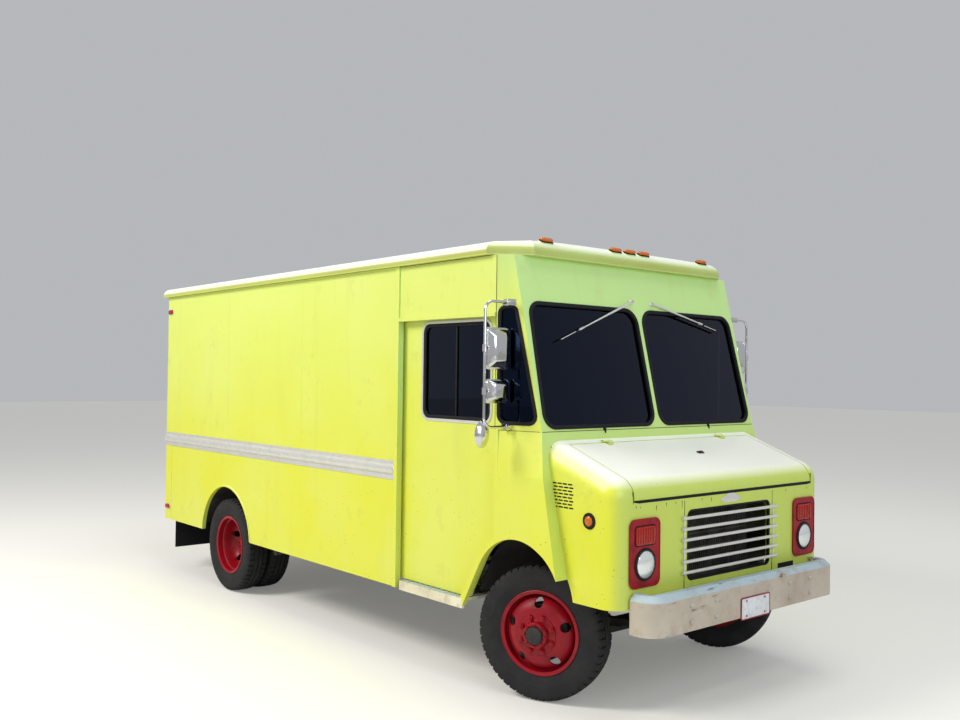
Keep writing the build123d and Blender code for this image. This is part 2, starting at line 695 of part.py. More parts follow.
# Rear frame: corner posts with side sheets, header, sill and the fixed halves of the door hinges
rear_opening_half = 700
rear_opening_bottom_z = 620
rear_opening_top_z = drip_z - 455
rear_sill_z = 570
hinge_radius = 9
hinge_pin_radius = 4
rear_hinge_x = rear_opening_half + 8
rear_hinge_back = body_back + hinge_radius + 1
rear_hinge_zs = (820, 1480, 2150)
with BuildPart() as rear_frame:
    with BuildSketch(level(skirt_z)):
        with Locations((0, body_back - corner_post / 2)):
            Rectangle(2 * body_half_width, corner_post)
    extrude(amount=drip_z - skirt_z)
    fillet(rear_frame.edges().filter_by(Axis.Z).group_by(Axis.Y)[-1], rear_corner_radius)
    with BuildSketch(across(body_back + 5)):
        with Locations((0, (rear_opening_bottom_z + rear_opening_top_z) / 2)):
            Rectangle(2 * rear_opening_half, rear_opening_top_z - rear_opening_bottom_z)
        with Locations((0, (skirt_z + rear_sill_z) / 2)):
            Rectangle(2 * (body_half_width - 90), rear_sill_z - skirt_z)
    extrude(amount=corner_post + 10, mode=Mode.SUBTRACT)
    for hand in (-1, 1):
        with BuildSketch(side(hand * inner_x)):
            with Locations((body_back - (corner_wing + corner_post) / 2, (skirt_z + drip_z) / 2)):
                Rectangle(corner_wing - corner_post, drip_z - skirt_z)
        extrude(amount=hand * wall)
        # seat of the rub rail
        with BuildSketch(side(hand * body_half_width)):
            with Locations((body_back - corner_wing, (rub_bottom_z + rub_top_z) / 2)):
                Rectangle(2 * (corner_wing - rear_corner_radius), rub_top_z - rub_bottom_z)
        extrude(amount=-hand * sheet_lap, mode=Mode.SUBTRACT)
    for z in rear_hinge_zs:
        for start, end in ((-40, -15), (15, 40)):
            with BuildSketch(level(z + start)):
                for hand in (-1, 1):
                    with Locations((hand * rear_hinge_x, rear_hinge_back)):
                        Circle(hinge_radius)
                    with Locations((hand * (rear_hinge_x + 28), rear_hinge_back - hinge_radius + 1)):
                        Rectangle(56, 4)
            extrude(amount=end - start)
        with BuildSketch(level(z - 40)):
            with Locations((-rear_hinge_x, rear_hinge_back), (rear_hinge_x, rear_hinge_back)):
                Circle(hinge_pin_radius)
        extrude(amount=80)
keep(rear_frame.part, "rear_frame")

# Cab front: the raked face with both windscreens and the facets with the quarter windows
facet_sections = [
    # height, back of the raked face
    (belt_z, rake_back(belt_z)),
    (drip_z, rake_back(drip_z)),
]
quarter_bottom_z = belt_z + 45
quarter_top_z = drip_z - 339
facet_angle = degrees(atan((body_half_width - crease_x) / (seam_back - rake_back(2100))))


def facet_plane(hand):
    """The corner facet at mid height, facing outwards, drawn as (hand * distance back from the seam, height)."""
    turn = radians(facet_angle)
    return Plane(origin=(hand * body_half_width, arch_y + seam_back, 0),
                 x_dir=(sin(turn), hand * cos(turn), 0), z_dir=(hand * cos(turn), -sin(turn), 0))


def quarter_outline(hand, offset):
    """The quarter window: upright rear edge, slanted front edge and a narrow rounded top."""
    with BuildSketch(facet_plane(hand).offset(offset)) as outline:
        with BuildLine():
            Polyline((-25 * hand, quarter_bottom_z), (-25 * hand, quarter_top_z), (-128 * hand, quarter_top_z),
                     (-312 * hand, quarter_bottom_z), close=True)
        make_face()
        fillet(outline.vertices().group_by(Axis.Y)[-1], 40)
        fillet(outline.vertices().group_by(Axis.Y)[0], 60)
    return outline.sketch


def windscreen_outline(hand, depth):
    """One windscreen pane's opening on the raked plane."""
    with BuildSketch(rake_plane(depth)) as outline:
        with BuildLine():
            Polyline((hand * pane_inner_x, up_rake(pane_bottom_z)), (hand * pane_outer_x, up_rake(pane_bottom_z)),
                     (hand * pane_top_x, up_rake(pane_top_z)), (hand * pane_inner_x, up_rake(pane_top_z)), close=True)
        make_face()
        fillet(outline.vertices(), pane_radius)
    return outline.sketch


with BuildPart() as cab_front:
    with BuildSketch(side(-crease_x)):
        with BuildLine():
            Polyline(*[(back, z) for z, back in facet_sections],
                     *[(back + cab_wall, z) for z, back in reversed(facet_sections)], close=True)
        make_face()
    extrude(amount=2 * crease_x)
    for hand in (-1, 1):
        for z, back in facet_sections:
            with BuildSketch(level(z)):
                with BuildLine():
                    Polyline((hand * body_half_width, seam_back), (hand * crease_x, back),
                             (hand * crease_x, back + cab_wall), (hand * (body_half_width - wall), seam_back), close=True)
                make_face()
        loft(ruled=True)
        extrude(windscreen_outline(hand, -20), amount=-90, mode=Mode.SUBTRACT)
        extrude(quarter_outline(hand, 60), amount=-140, mode=Mode.SUBTRACT)
keep(cab_front.part, "cab_front")

# Cab glass: windscreens and quarter windows, each filling its opening
with BuildPart() as cab_glass:
    for hand in (-1, 1):
        extrude(windscreen_outline(hand, 15), amount=-glass_thickness)
        extrude(quarter_outline(hand, -14), amount=-glass_thickness)
keep(cab_glass.part, "cab_glass")

# Cowl: the corners below the belt, the bar over the firewall and the bands round the wheel arches
door_band = 45
belt_bend_back = 107
facet_share = (seam_back - belt_bend_back) / (seam_back - rake_foot_back)
cowl_sections = [
    # height, bend x, bend back, front edge x
    (belt_z, body_half_width - facet_share * (body_half_width - crease_x), belt_bend_back, crease_x),
    (1410, body_half_width, -5, body_half_width - 30),
    (770, body_half_width, -262, body_half_width - 3),
]


def cowl_corners(section):
    """Outer and inner corners of one cowl side at a height, as (x, back)."""
    z, bend_x, bend_back, edge_x = section
    front = rake_back(z)
    outer = [(-body_half_width, seam_back), (-bend_x, bend_back), (-edge_x, front), (-nose_half_width, front)]
    inner_edge_x = max(edge_x - wall, nose_half_width + 8)
    inner = [(-inner_x, seam_back), (-bend_x + wall, bend_back), (-inner_edge_x, front + wall),
             (-nose_half_width, front + wall)]
    return outer, inner


with BuildPart() as arch_band:
    with BuildSketch(side(-body_half_width)):
        with Locations((seam_back - 15, (belt_z + 900) / 2)):
            Rectangle(30, belt_z - 900)
    extrude(amount=wall)
    extrude(front_arch(door_band, side(-body_half_width), step_bottom_z), amount=wall)
    with BuildSketch(side(-body_half_width)):
        with Locations((seam_back - 30 - 500, 900)):
            Rectangle(1000, 2000)
        with Locations((step_front_back + 100, step_tread_z - 100)):
            Rectangle(200, 200)
    extrude(amount=wall, mode=Mode.SUBTRACT)
with BuildPart() as cowl_sides:
    for upper, lower in zip(cowl_sections, cowl_sections[1:]):
        for corner in range(3):
            for section in (upper, lower):
                outer, inner = cowl_corners(section)
                with BuildSketch(level(section[0])):
                    with BuildLine():
                        Polyline(outer[corner], outer[corner + 1], inner[corner + 1], inner[corner], close=True)
                    make_face()
            loft(ruled=True)
    add(arch_band.part)
    extrude(front_arch(0, side(-body_half_width - 60)), amount=260, mode=Mode.SUBTRACT)
    mirror(about=Plane.YZ)
    with BuildSketch(side(-nose_half_width)):
        with BuildLine():
            Polyline((rake_back(cowl_bar_z), cowl_bar_z), (rake_back(belt_z), belt_z),
                     (rake_back(belt_z) + firewall_plate, belt_z), (rake_back(cowl_bar_z) + firewall_plate, cowl_bar_z),
                     close=True)
        make_face()
    extrude(amount=2 * nose_half_width)
keep(cowl_sides.part, "cowl_sides")


# Nose: one moulded shell with rounded corners, split into the fixed nose and the hood
nose_tail_back = 120


def nose_top(back):
    """Height of the nose's sloping top."""
    slope = (nose_top_z - nose_brow_z) / (rake_back(nose_top_z) - nose_brow_back)
    return nose_brow_z + slope * (back - nose_brow_back)


def nose_form(inset):
    """The nose's solid form, drawn in by inset on every outer face."""
    side_x = nose_half_width - inset
    front = nose_front_back + inset
    with BuildPart() as form:
        with BuildSketch(side(-side_x)) as profile:
            with BuildLine():
                Polyline((front, nose_bottom_z - inset), (front, nose_top(front) - inset),
                         (nose_tail_back, nose_top(nose_tail_back) - inset), (nose_tail_back, nose_bottom_z - inset), close=True)
            make_face()
            fillet(profile.vertices().sort_by(Axis.X)[:2].sort_by(Axis.Y)[-1], nose_brow_radius - inset)
        extrude(amount=2 * side_x)
        flanks = form.faces().sort_by(Axis.X)[0].edges() + form.faces().sort_by(Axis.X)[-1].edges()
        flanks = flanks.filter_by(lambda edge: edge.center().Z > nose_bottom_z + 5)
        fillet(flanks.filter_by(lambda edge: edge.center().Y < arch_y + nose_tail_back - 5), nose_radius - inset)
    return form.part


grille_half_width = 440
grille_bottom_z = 800
grille_top_z = 1220
bezel_x = nose_half_width - 242
bezel_z = 1011
bezel_width = 260
bezel_height = 389
marker_back = -514
marker_z = 1190
rail_notch_x = rail_x - rail_flange / 2

with BuildPart() as nose_shell:
    add(nose_form(0))
    add(nose_form(nose_wall), mode=Mode.SUBTRACT)
    split(bisect_by=rake_plane(0), keep=Keep.TOP)
    with BuildSketch(across(nose_front_back - 20)):
        with Locations((0, (grille_bottom_z + grille_top_z) / 2)):
            RectangleRounded(2 * grille_half_width, grille_top_z - grille_bottom_z, 40)
        with Locations((-bezel_x, bezel_z), (bezel_x, bezel_z)):
            RectangleRounded(bezel_width, bezel_height, 40)
    extrude(amount=-90, mode=Mode.SUBTRACT)
    extrude(front_arch(0, side(-1400)), amount=2800, mode=Mode.SUBTRACT)
    with BuildSketch(across(nose_front_back - 20)):
        with Locations((-rail_notch_x, nose_bottom_z), (rail_notch_x, nose_bottom_z)):
            Rectangle(rail_flange + 20, 2 * (rail_top_z + 10 - nose_bottom_z))
    extrude(amount=-90, mode=Mode.SUBTRACT)


def hood_cutter(gap):
    """The block of space that the hood takes from the nose shell, grown by gap."""
    with BuildPart() as block:
        with BuildSketch(level(hood_lip_z - gap)):
            with Locations((0, (hood_hinge_back + gap + nose_front_back - 100) / 2)):
                Rectangle(2 * (hood_half_width + gap), hood_hinge_back + gap - nose_front_back + 100)
        extrude(amount=500)
    return block.part


hood_hinge_x = 600
hood_axis_back = hood_hinge_back + hood_gap / 2
hood_axis_z = nose_top(hood_hinge_back) + hinge_radius + 2
with BuildPart() as hood:
    add(nose_shell.part)
    add(hood_cutter(0), mode=Mode.INTERSECT)
    for hand in (-1, 1):
        with BuildSketch(side(hand * hood_hinge_x - 19)):
            with Locations((hood_axis_back, hood_axis_z)):
                Circle(hinge_radius)
            with Locations((hood_axis_back - 20, hood_axis_z - 5)):
                Rectangle(40, 8)
            with Locations((hood_axis_back - 32, hood_axis_z - 12)):
                Rectangle(16, 22)
            with Locations((hood_axis_back, hood_axis_z)):
                Circle(hinge_pin_radius + running_fit, mode=Mode.SUBTRACT)
        extrude(amount=38)
keep(hood.part, "hood")

with BuildPart() as nose:
    add(nose_shell.part)
    add(hood_cutter(hood_gap), mode=Mode.SUBTRACT)
    for hand in (-1, 1):
        for start, end in ((-42, -19.5), (19.5, 42)):
            with BuildSketch(side(hand * hood_hinge_x + start)):
                with Locations((hood_axis_back, hood_axis_z)):
                    Circle(hinge_radius)
                with Locations((hood_axis_back + 14, hood_axis_z - 3)):
                    Rectangle(28, 8)
                with Locations((hood_axis_back + 22, hood_axis_z - 6)):
                    Rectangle(16, 16)
            extrude(amount=end - start)
        with BuildSketch(side(hand * hood_hinge_x - 42)):
            with Locations((hood_axis_back, hood_axis_z)):
                Circle(hinge_pin_radius)
        extrude(amount=84)
keep(nose.part, "nose")

# Grille: silver half-round bars on two posts in front of the dark opening
bar_half_width = 507
bar_count = 6
bar_top_z = 1179
bar_bottom_z = 850
bar_pitch = (bar_top_z - bar_bottom_z) / (bar_count - 1)
post_x = 478
post_depth = 8
with BuildPart() as grille:
    for hand in (-1, 1):
        with BuildSketch(across(nose_front_back)):
            with Locations((hand * post_x, (bar_top_z + bar_bottom_z) / 2)):
                Rectangle(16, bar_top_z - bar_bottom_z + 30)
        extrude(amount=post_depth)
    for row in range(bar_count):
        with BuildSketch(side(-bar_half_width)):
            with Locations((nose_front_back - post_depth - 8, bar_bottom_z + row * bar_pitch)):
                RectangleRounded(18, 20, 8)
        extrude(amount=2 * bar_half_width)
keep(grille.part, "grille")

# Headlamp bezels, headlamps and the amber lamps
headlamp_z = 945
headlamp_radius = 89
turn_lamp_z = 1112
turn_lamp_width = 176
turn_lamp_height = 110
bezel_proud = 10
with BuildPart() as headlamp_bezels:
    with BuildSketch(across(nose_front_back + nose_wall)):
        for hand in (-1, 1):
            with Locations((hand * bezel_x, bezel_z)):
                RectangleRounded(bezel_width, bezel_height, 40)
            with Locations((hand * bezel_x, headlamp_z)):
                Circle(headlamp_radius + seat_gap, mode=Mode.SUBTRACT)
            with Locations((hand * bezel_x, turn_lamp_z)):
                RectangleRounded(turn_lamp_width, turn_lamp_height, 20, mode=Mode.SUBTRACT)
    extrude(amount=nose_wall + bezel_proud)
keep(headlamp_bezels.part, "headlamp_bezels")

with BuildPart() as headlamps:
    with BuildSketch(across(nose_front_back + nose_wall)):
        with Locations((-bezel_x, headlamp_z), (bezel_x, headlamp_z)):
            Circle(headlamp_radius)
    extrude(amount=nose_wall + bezel_proud + 6)
    fillet(headlamps.edges().filter_by(GeomType.CIRCLE).group_by(Axis.Y)[0], 14)
keep(headlamps.part, "headlamps")

side_lamp_back = body_back - 115
rear_marker_z = drip_z - 85
side_lamp_top_z = drip_z - 155
side_lamp_low_z = 645
with BuildPart() as amber_lamps:
    with BuildSketch(across(nose_front_back + nose_wall)):
        with Locations((-bezel_x, turn_lamp_z), (bezel_x, turn_lamp_z)):
            RectangleRounded(turn_lamp_width, turn_lamp_height, 20)
    extrude(amount=nose_wall + bezel_proud + 4)
    for hand in (-1, 1):
        with BuildSketch(side(hand * nose_half_width)):
            with Locations((marker_back, marker_z)):
                Circle(40)
        extrude(amount=hand * 16)
    for x in roof_lamp_xs:
        with BuildSketch(lamp_seat(x, lamp_pad)):
            RectangleRounded(110, 44, 20)
        extrude(amount=34, taper=12)
keep(amber_lamps.part, "amber_lamps")

with BuildPart() as rear_lamps:
    with BuildSketch(across(body_back)):
        for hand in (-1, 1):
            with Locations((hand * (body_half_width - 240), 980), (hand * (body_half_width - 240), 1120)):
                Circle(52)
        for x in (-body_half_width + 150, -150, 0, 150, body_half_width - 150):
            with Locations((x, rear_marker_z)):
                RectangleRounded(110, 34, 16)
    extrude(amount=-22)
    for hand in (-1, 1):
        with BuildSketch(side(hand * body_half_width)):
            with Locations((side_lamp_back, side_lamp_top_z), (side_lamp_back, side_lamp_low_z)):
                RectangleRounded(100, 40, 18)
        extrude(amount=hand * 18)
keep(rear_lamps.part, "rear_lamps")

# Front bumper: a deep channel with a bevelled top edge, wrapped round at its ends
bumper_corner = 120
bumper_bevel = 34
bumper_wrap_back = -735
bumper_ledge = 75


def bumper_form(inset):
    """The bumper's outer solid, drawn in by inset on its outer faces and open below when inset."""
    half_width = bumper_half_width - inset
    front = bumper_face_back + inset
    with BuildPart() as form:
        with BuildSketch(level(bumper_bottom_z - inset)):
            with Locations((0, (front + 400) / 2)):
                RectangleRounded(2 * half_width, 400 - front, bumper_corner - inset)
        extrude(amount=bumper_top_z - bumper_bottom_z)
        chamfer(form.faces().sort_by(Axis.Z)[-1].edges(), bumper_bevel - 0.586 * inset)
    return form.part


with BuildPart() as front_bumper:
    add(bumper_form(0))
    add(bumper_form(bumper_plate), mode=Mode.SUBTRACT)
    with BuildSketch(level(bumper_bottom_z - 50)):
        with Locations((0, 500)):
            Rectangle(3000, 2 * (500 - bumper_wrap_back))
    extrude(amount=400, mode=Mode.SUBTRACT)
    with BuildSketch(level(bumper_bottom_z + 2 * bumper_plate)):
        with Locations((0, 500)):
            Rectangle(2 * (bumper_half_width - bumper_ledge), 2 * (500 - bumper_face_back - bumper_ledge))
    extrude(amount=400, mode=Mode.SUBTRACT)
keep(front_bumper.part, "front_bumper")

# Rear step: a plank with a tread plate on two arms under the rails
rear_step_half = body_half_width - 120
rear_step_bottom_z = 520
rear_tread = 6
rear_step_front = body_back + 3
with BuildPart() as rear_step:
    with BuildSketch(level(rear_step_bottom_z)):
        with Locations((0, (rear_step_front + step_edge_back) / 2)):
            Rectangle(2 * rear_step_half, step_edge_back - rear_step_front)
        for hand in (-1, 1):
            with Locations((hand * (rail_x - 30), (rail_back - 185 + rear_step_front + 10) / 2)):
                Rectangle(50, rear_step_front + 10 - rail_back + 185)
    extrude(amount=rail_bottom_z - rear_step_bottom_z)
    with BuildSketch(level(rail_bottom_z)):
        with Locations((0, (rear_step_front + 5 + step_edge_back) / 2)):
            Rectangle(2 * rear_step_half, step_edge_back - rear_step_front - 5)
    extrude(amount=rear_tread)
keep(rear_step.part, "rear_step")

# Rub rails: an aluminium strip with one half-round bead, set on the lap of the side sheets
rub_front_back = 1295
rub_strip = 4
bead_height = 76
bead_proud = 24
bead_z = 1348
rub_seat_x = body_half_width - sheet_lap
with BuildPart() as rub_rails:
    with BuildSketch(across(rub_front_back)):
        with Locations((-rub_seat_x - rub_strip / 2, (rub_bottom_z + rub_top_z) / 2)):
            Rectangle(rub_strip, rub_top_z - rub_bottom_z)
        with Locations((-rub_seat_x, bead_z)):
            Ellipse(bead_proud, bead_height / 2)
        with Locations((-rub_seat_x + 50, bead_z)):
            Rectangle(100, 2 * bead_height, mode=Mode.SUBTRACT)
    extrude(amount=-(body_back - rear_corner_radius - rub_front_back))
    mirror(about=Plane.YZ)
keep(rub_rails.part, "rub_rails")

# Mud flaps behind the rear wheels
mud_flap_back = rear_axle_back + 1212
mud_flap_width = 400
mud_flap_bottom_z = 230
with BuildPart() as mud_flaps:
    with BuildSketch(across(mud_flap_back)):
        for hand in (-1, 1):
            with Locations((hand * (inner_x - 5 - mud_flap_width / 2), (mud_flap_bottom_z + rail_top_z) / 2)):
                Rectangle(mud_flap_width, rail_top_z - mud_flap_bottom_z)
    extrude(amount=8)
keep(mud_flaps.part, "mud_flaps")

# Mirrors: a bent tube out from the cab corner that carries two square heads and a round one
mirror_back = 100
mirror_tube_radius = 9
mirror_out_x = body_half_width + 185
mirror_top_z = 2492
mirror_bottom_z = 1712
mirror_head_x = body_half_width + 75
mirror_heads = [
    # height, width, length down
    (2200, 190, 262),
    (1935, 190, 150),
]
mirror_foot_x = body_half_width - 43
round_mirror_z = 1668
round_mirror_radius = 85
with BuildPart() as mirrors:
    with BuildLine() as tube_route:
        tube_y = arch_y + mirror_back
        FilletPolyline((60 - body_half_width, tube_y, mirror_top_z), (-mirror_out_x, tube_y, mirror_top_z),
                       (-mirror_out_x, tube_y, mirror_bottom_z), (40 - body_half_width, tube_y, mirror_bottom_z), radius=60)
    with BuildSketch(Plane(origin=tube_route.line @ 0, z_dir=tube_route.line % 0)):
        Circle(mirror_tube_radius)
    sweep()
    for foot_z in (mirror_bottom_z, mirror_top_z):
        with BuildSketch(side(-body_half_width - 15)):
            with Locations((mirror_back, foot_z)):
                RectangleRounded(50, 40, 8)
        extrude(amount=body_half_width + 15 - mirror_foot_x)
    for z, width, height in mirror_heads:
        with BuildSketch(across(mirror_back + 22)):
            with Locations((-mirror_head_x, z)):
                RectangleRounded(width, height, 26)
        extrude(amount=12)
        with BuildSketch(across(mirror_back + 10)):
            with Locations((-mirror_head_x, z)):
                RectangleRounded(width - 8, height - 8, 22)
        extrude(amount=44, taper=38)
        # clamp that holds the head to the tube
        with BuildSketch(level(z - 20)):
            with Locations((-mirror_out_x, mirror_back)):
                Circle(mirror_tube_radius + 7)
            with Locations((-mirror_out_x + 20, mirror_back + 13)):
                Rectangle(40, 12)
        extrude(amount=40)
    with BuildSketch(across(mirror_back + 12)):
        with Locations((-mirror_out_x, round_mirror_z)):
            Ellipse(round_mirror_radius * 0.7, round_mirror_radius)
    extrude(amount=24)
    add(cab_front.part, mode=Mode.SUBTRACT)
    mirror(about=Plane.YZ)
keep(mirrors.part, "mirrors")

# Dashboard shelf behind the windscreens
with BuildPart() as dashboard:
    with BuildSketch(side(-(front_house_reach - 5))):
        with BuildLine():
            Polyline((rake_back(1450) + firewall_plate, 1450), (rake_back(belt_z - 8) + firewall_plate, belt_z - 8),
                     (150, belt_z - 30), (200, 1600), (190, 1450), close=True)
        make_face()
    extrude(amount=2 * (front_house_reach - 5))
keep(dashboard.part, "dashboard")

# Steering wheel on its column, over the left wheelhouse
steering_x = body_half_width - 580
steering_tilt = 35
steering_centre = (steering_x, arch_y + 440, 1480)
steering_plane = Plane(origin=steering_centre, x_dir=(1, 0, 0), z_dir=(0, sin(radians(steering_tilt)), cos(radians(steering_tilt))))
with BuildPart() as steering_wheel:
    with BuildSketch(Plane(origin=steering_centre, x_dir=(1, 0, 0), z_dir=(0, -cos(radians(steering_tilt)), sin(radians(steering_tilt))))):
        with Locations((225, 0)):
            RegularPolygon(15, 6)
    revolve(axis=Axis(steering_centre, steering_plane.z_dir))
    with BuildSketch(steering_plane.offset(-6)):
        with PolarLocations(112, 3, start_angle=30):
            Rectangle(225, 30)
        Circle(45)
    extrude(amount=12)
    with BuildSketch(steering_plane):
        Circle(26)
    extrude(amount=-545)
    add(cab_floor.part, mode=Mode.SUBTRACT)
    add(front_wheelhouses.part, mode=Mode.SUBTRACT)
keep(steering_wheel.part, "steering_wheel")

# Driver's seat: a boxed pedestal with a cushion and a leaning back
seat_x = steering_x


def seat_bar_back(z):
    """Front face of the seat's back bar, which leans back."""
    return 1194 + 0.2 * (z - floor_z - 350)


with BuildPart() as seat_frame:
    with BuildSketch(level(floor_z)):
        with Locations((seat_x, 1000)):
            RectangleRounded(320, 380, 20)
    extrude(amount=340)
    with BuildSketch(level(floor_z + 340)):
        with Locations((seat_x, 1000)):
            RectangleRounded(440, 440, 30)
    extrude(amount=20)
    with BuildSketch(side(seat_x - 60)):
        with BuildLine():
            Polyline(*[(seat_bar_back(z) + depth, z) for z, depth in ((floor_z + 350, 0), (floor_z + 350, 26),
                                                                     (floor_z + 900, 26), (floor_z + 900, 0))], close=True)
        make_face()
    extrude(amount=120)
keep(seat_frame.part, "seat_frame")
cushion_z = floor_z + 360
with BuildPart() as seat_cushions:
    with BuildSketch(level(cushion_z + seat_gap)):
        with Locations((seat_x, 975)):
            RectangleRounded(470, 440, 50)
    extrude(amount=110)
    fillet(seat_cushions.edges().group_by(Axis.Z)[-1], 30)
    with BuildSketch(side(seat_x - 235)):
        with BuildLine():
            Polyline(*[(seat_bar_back(z) - depth, z) for z, depth in ((cushion_z + 130, 80), (cushion_z + 130, seat_gap),
                                                                     (cushion_z + 650, seat_gap), (cushion_z + 650, 80))], close=True)
        make_face()
    extrude(amount=470)
keep(seat_cushions.part, "seat_cushions")

# Sliding doors, each hung by two rollers on its rail, with a window
door_x = body_half_width - door_recess
door_window = (327, 1007, belt_z + 60, door_top_z - 73)  # front, rear, bottom, top
roller_radius = 20
roller_axle_z = rail_bar_z + rail_bar_height + roller_radius + seat_gap


def door_window_sketch(depth):
    """The window opening in a sliding door, drawn on a plane depth inside its face."""
    front, rear, bottom, top = door_window
    with BuildSketch(side(-door_x + depth)) as window:
        with Locations(((front + rear) / 2, (bottom + top) / 2)):
            RectangleRounded(rear - front, top - bottom, 60)
    return window.sketch


with BuildPart() as right_door:
    with BuildSketch(side(-door_x)):
        with Locations(((door_front_back + door_rear_back) / 2, (door_bottom_z + door_top_z) / 2)):
            Rectangle(door_rear_back - door_front_back, door_top_z - door_bottom_z)
    extrude(amount=door_thickness)
    extrude(front_arch(22, side(-door_x - 10)), amount=door_thickness + 20, mode=Mode.SUBTRACT)
    extrude(door_window_sketch(-10), amount=door_thickness + 20, mode=Mode.SUBTRACT)
    for back in (420, 1080):
        with BuildSketch(side(-rail_bar_x + rail_bar_width + 6)):
            with Locations((back, (door_top_z - 4 + roller_axle_z + 14) / 2)):
                Rectangle(50, roller_axle_z + 14 - door_top_z + 4)
        extrude(amount=8)
        with BuildSketch(side(-rail_bar_x)):
            with Locations((back, roller_axle_z)):
                Circle(roller_radius)
        extrude(amount=rail_bar_width)
        with BuildSketch(side(-rail_bar_x)):
            with Locations((back, roller_axle_z)):
                Circle(7)
        extrude(amount=rail_bar_width + 8)
keep(right_door.part, "right_door")
with BuildPart() as left_door:
    add(mirror(right_door.part, about=Plane.YZ))
keep(left_door.part, "left_door")

with BuildPart() as right_door_glass:
    extrude(door_window_sketch((door_thickness - glass_thickness) / 2), amount=glass_thickness)
keep(right_door_glass.part, "right_door_glass")
with BuildPart() as left_door_glass:
    add(mirror(right_door_glass.part, about=Plane.YZ))
keep(left_door_glass.part, "left_door_glass")

# Rear doors on three hinges each
rear_door_gap = 6
rear_door_thickness = 40
rear_window = (350, 1900, 380, 420)  # x, height, width, length down
with BuildPart() as right_rear_door:
    with BuildSketch(across(body_back)):
        with Locations((-rear_opening_half / 2, (rear_opening_bottom_z + rear_opening_top_z) / 2)):
            Rectangle(rear_opening_half - rear_door_gap * 1.5, rear_opening_top_z - rear_opening_bottom_z - 2 * rear_door_gap)
    extrude(amount=rear_door_thickness)
    with BuildSketch(across(body_back + 5)):
        with Locations((-rear_window[0], rear_window[1])):
            RectangleRounded(rear_window[2], rear_window[3], 40)
    extrude(amount=rear_door_thickness + 10, mode=Mode.SUBTRACT)
    for z in rear_hinge_zs:
        with BuildSketch(level(z - 14.7)):
            with Locations((-rear_hinge_x, rear_hinge_back)):
                Circle(hinge_radius)
            with Locations((-rear_hinge_x + 32, rear_hinge_back - hinge_radius + 3)):
                Rectangle(64, 4)
            with Locations((-rear_hinge_x + 44, rear_hinge_back - hinge_radius + 1)):
                Rectangle(40, 4)
            with Locations((-rear_hinge_x, rear_hinge_back)):
                Circle(hinge_pin_radius + running_fit, mode=Mode.SUBTRACT)
        extrude(amount=29.4)
keep(right_rear_door.part, "right_rear_door")
with BuildPart() as left_rear_door:
    add(mirror(right_rear_door.part, about=Plane.YZ))
keep(left_rear_door.part, "left_rear_door")

with BuildPart() as right_rear_glass:
    with BuildSketch(across(body_back - (rear_door_thickness - glass_thickness) / 2)):
        with Locations((-rear_window[0], rear_window[1])):
            RectangleRounded(rear_window[2], rear_window[3], 40)
    extrude(amount=glass_thickness)
keep(right_rear_glass.part, "right_rear_glass")
with BuildPart() as left_rear_glass:
    add(mirror(right_rear_glass.part, about=Plane.YZ))
keep(left_rear_glass.part, "left_rear_glass")


# Wheels: every section is drawn as (distance out along the axle, radius) and turned
def axle_line(hand, steered):
    """Start point and outward direction of a wheel's axle."""
    if steered:
        turn = radians(steer_at_rest)
        return Vector(hand * kingpin_x, front_axle_y, axle_z), Vector(hand * cos(turn), hand * sin(turn), 0)
    return Vector(0, arch_y + rear_axle_back, axle_z), Vector(hand, 0, 0)


def section_plane(hand, steered):
    """Plane through the axle line, drawn as (distance out, height over the axle)."""
    start, out = axle_line(hand, steered)
    return Plane(origin=start, x_dir=out, z_dir=(out.Y, -out.X, 0))


def turned(sections, hand, steered):
    """A solid turned round the axle from closed lists of points that overlap."""
    start, out = axle_line(hand, steered)
    with BuildPart() as body:
        with BuildSketch(section_plane(hand, steered)):
            for points in sections:
                with BuildLine():
                    Polyline(*points, close=True)
                make_face()
        revolve(axis=Axis(start, out))
    return body.part


tyre_half_section = [(-76, bead_radius + seat_gap), (-79.5, 265.5), (-99, 300), (-100, 370), (-84, 417), (-66, tyre_radius)]
barrel_section = [(-89, 265), (-81, 265), (-78, 250), (-30, 250), (-25, 237), (25, 237), (30, 250), (78, 250), (81, 265),
                  (89, 265), (86, 256), (82, 241), (34, 241), (28, 228), (-28, 228), (-34, 241), (-82, 241), (-86, 256)]
disc_section = [(18, 232), (60, 222), (104, 178), (116, 160), (116, 60), (106, 60), (106, 156), (96, 170), (52, 213), (12, 226)]
stud_circle = 111
stud_radius = 13
stud_count = 8
hand_hole_radius = 30
hand_hole_circle = 190
hand_hole_count = 5


def tyre(middle, hand, steered):
    """A tyre whose middle stands at the distance out given."""
    points = tyre_half_section + [(-x, radius) for x, radius in reversed(tyre_half_section)]
    return turned([[(middle + x, radius) for x, radius in points]], hand, steered)


def rim(middle, dish, hand, steered):
    """A rim and its pressed disc; dish is 1 where the disc bulges outwards, -1 inwards."""
    start, out = axle_line(hand, steered)
    with BuildPart() as wheel:
        add(turned([[(middle + dish * x, radius) for x, radius in section]
                    for section in (barrel_section, disc_section)], hand, steered))
        with BuildSketch(Plane(origin=start + out * (middle - 130), z_dir=out)):
            with PolarLocations(hand_hole_circle, hand_hole_count):
                Circle(hand_hole_radius)
        extrude(amount=260, mode=Mode.SUBTRACT)
    return wheel.part


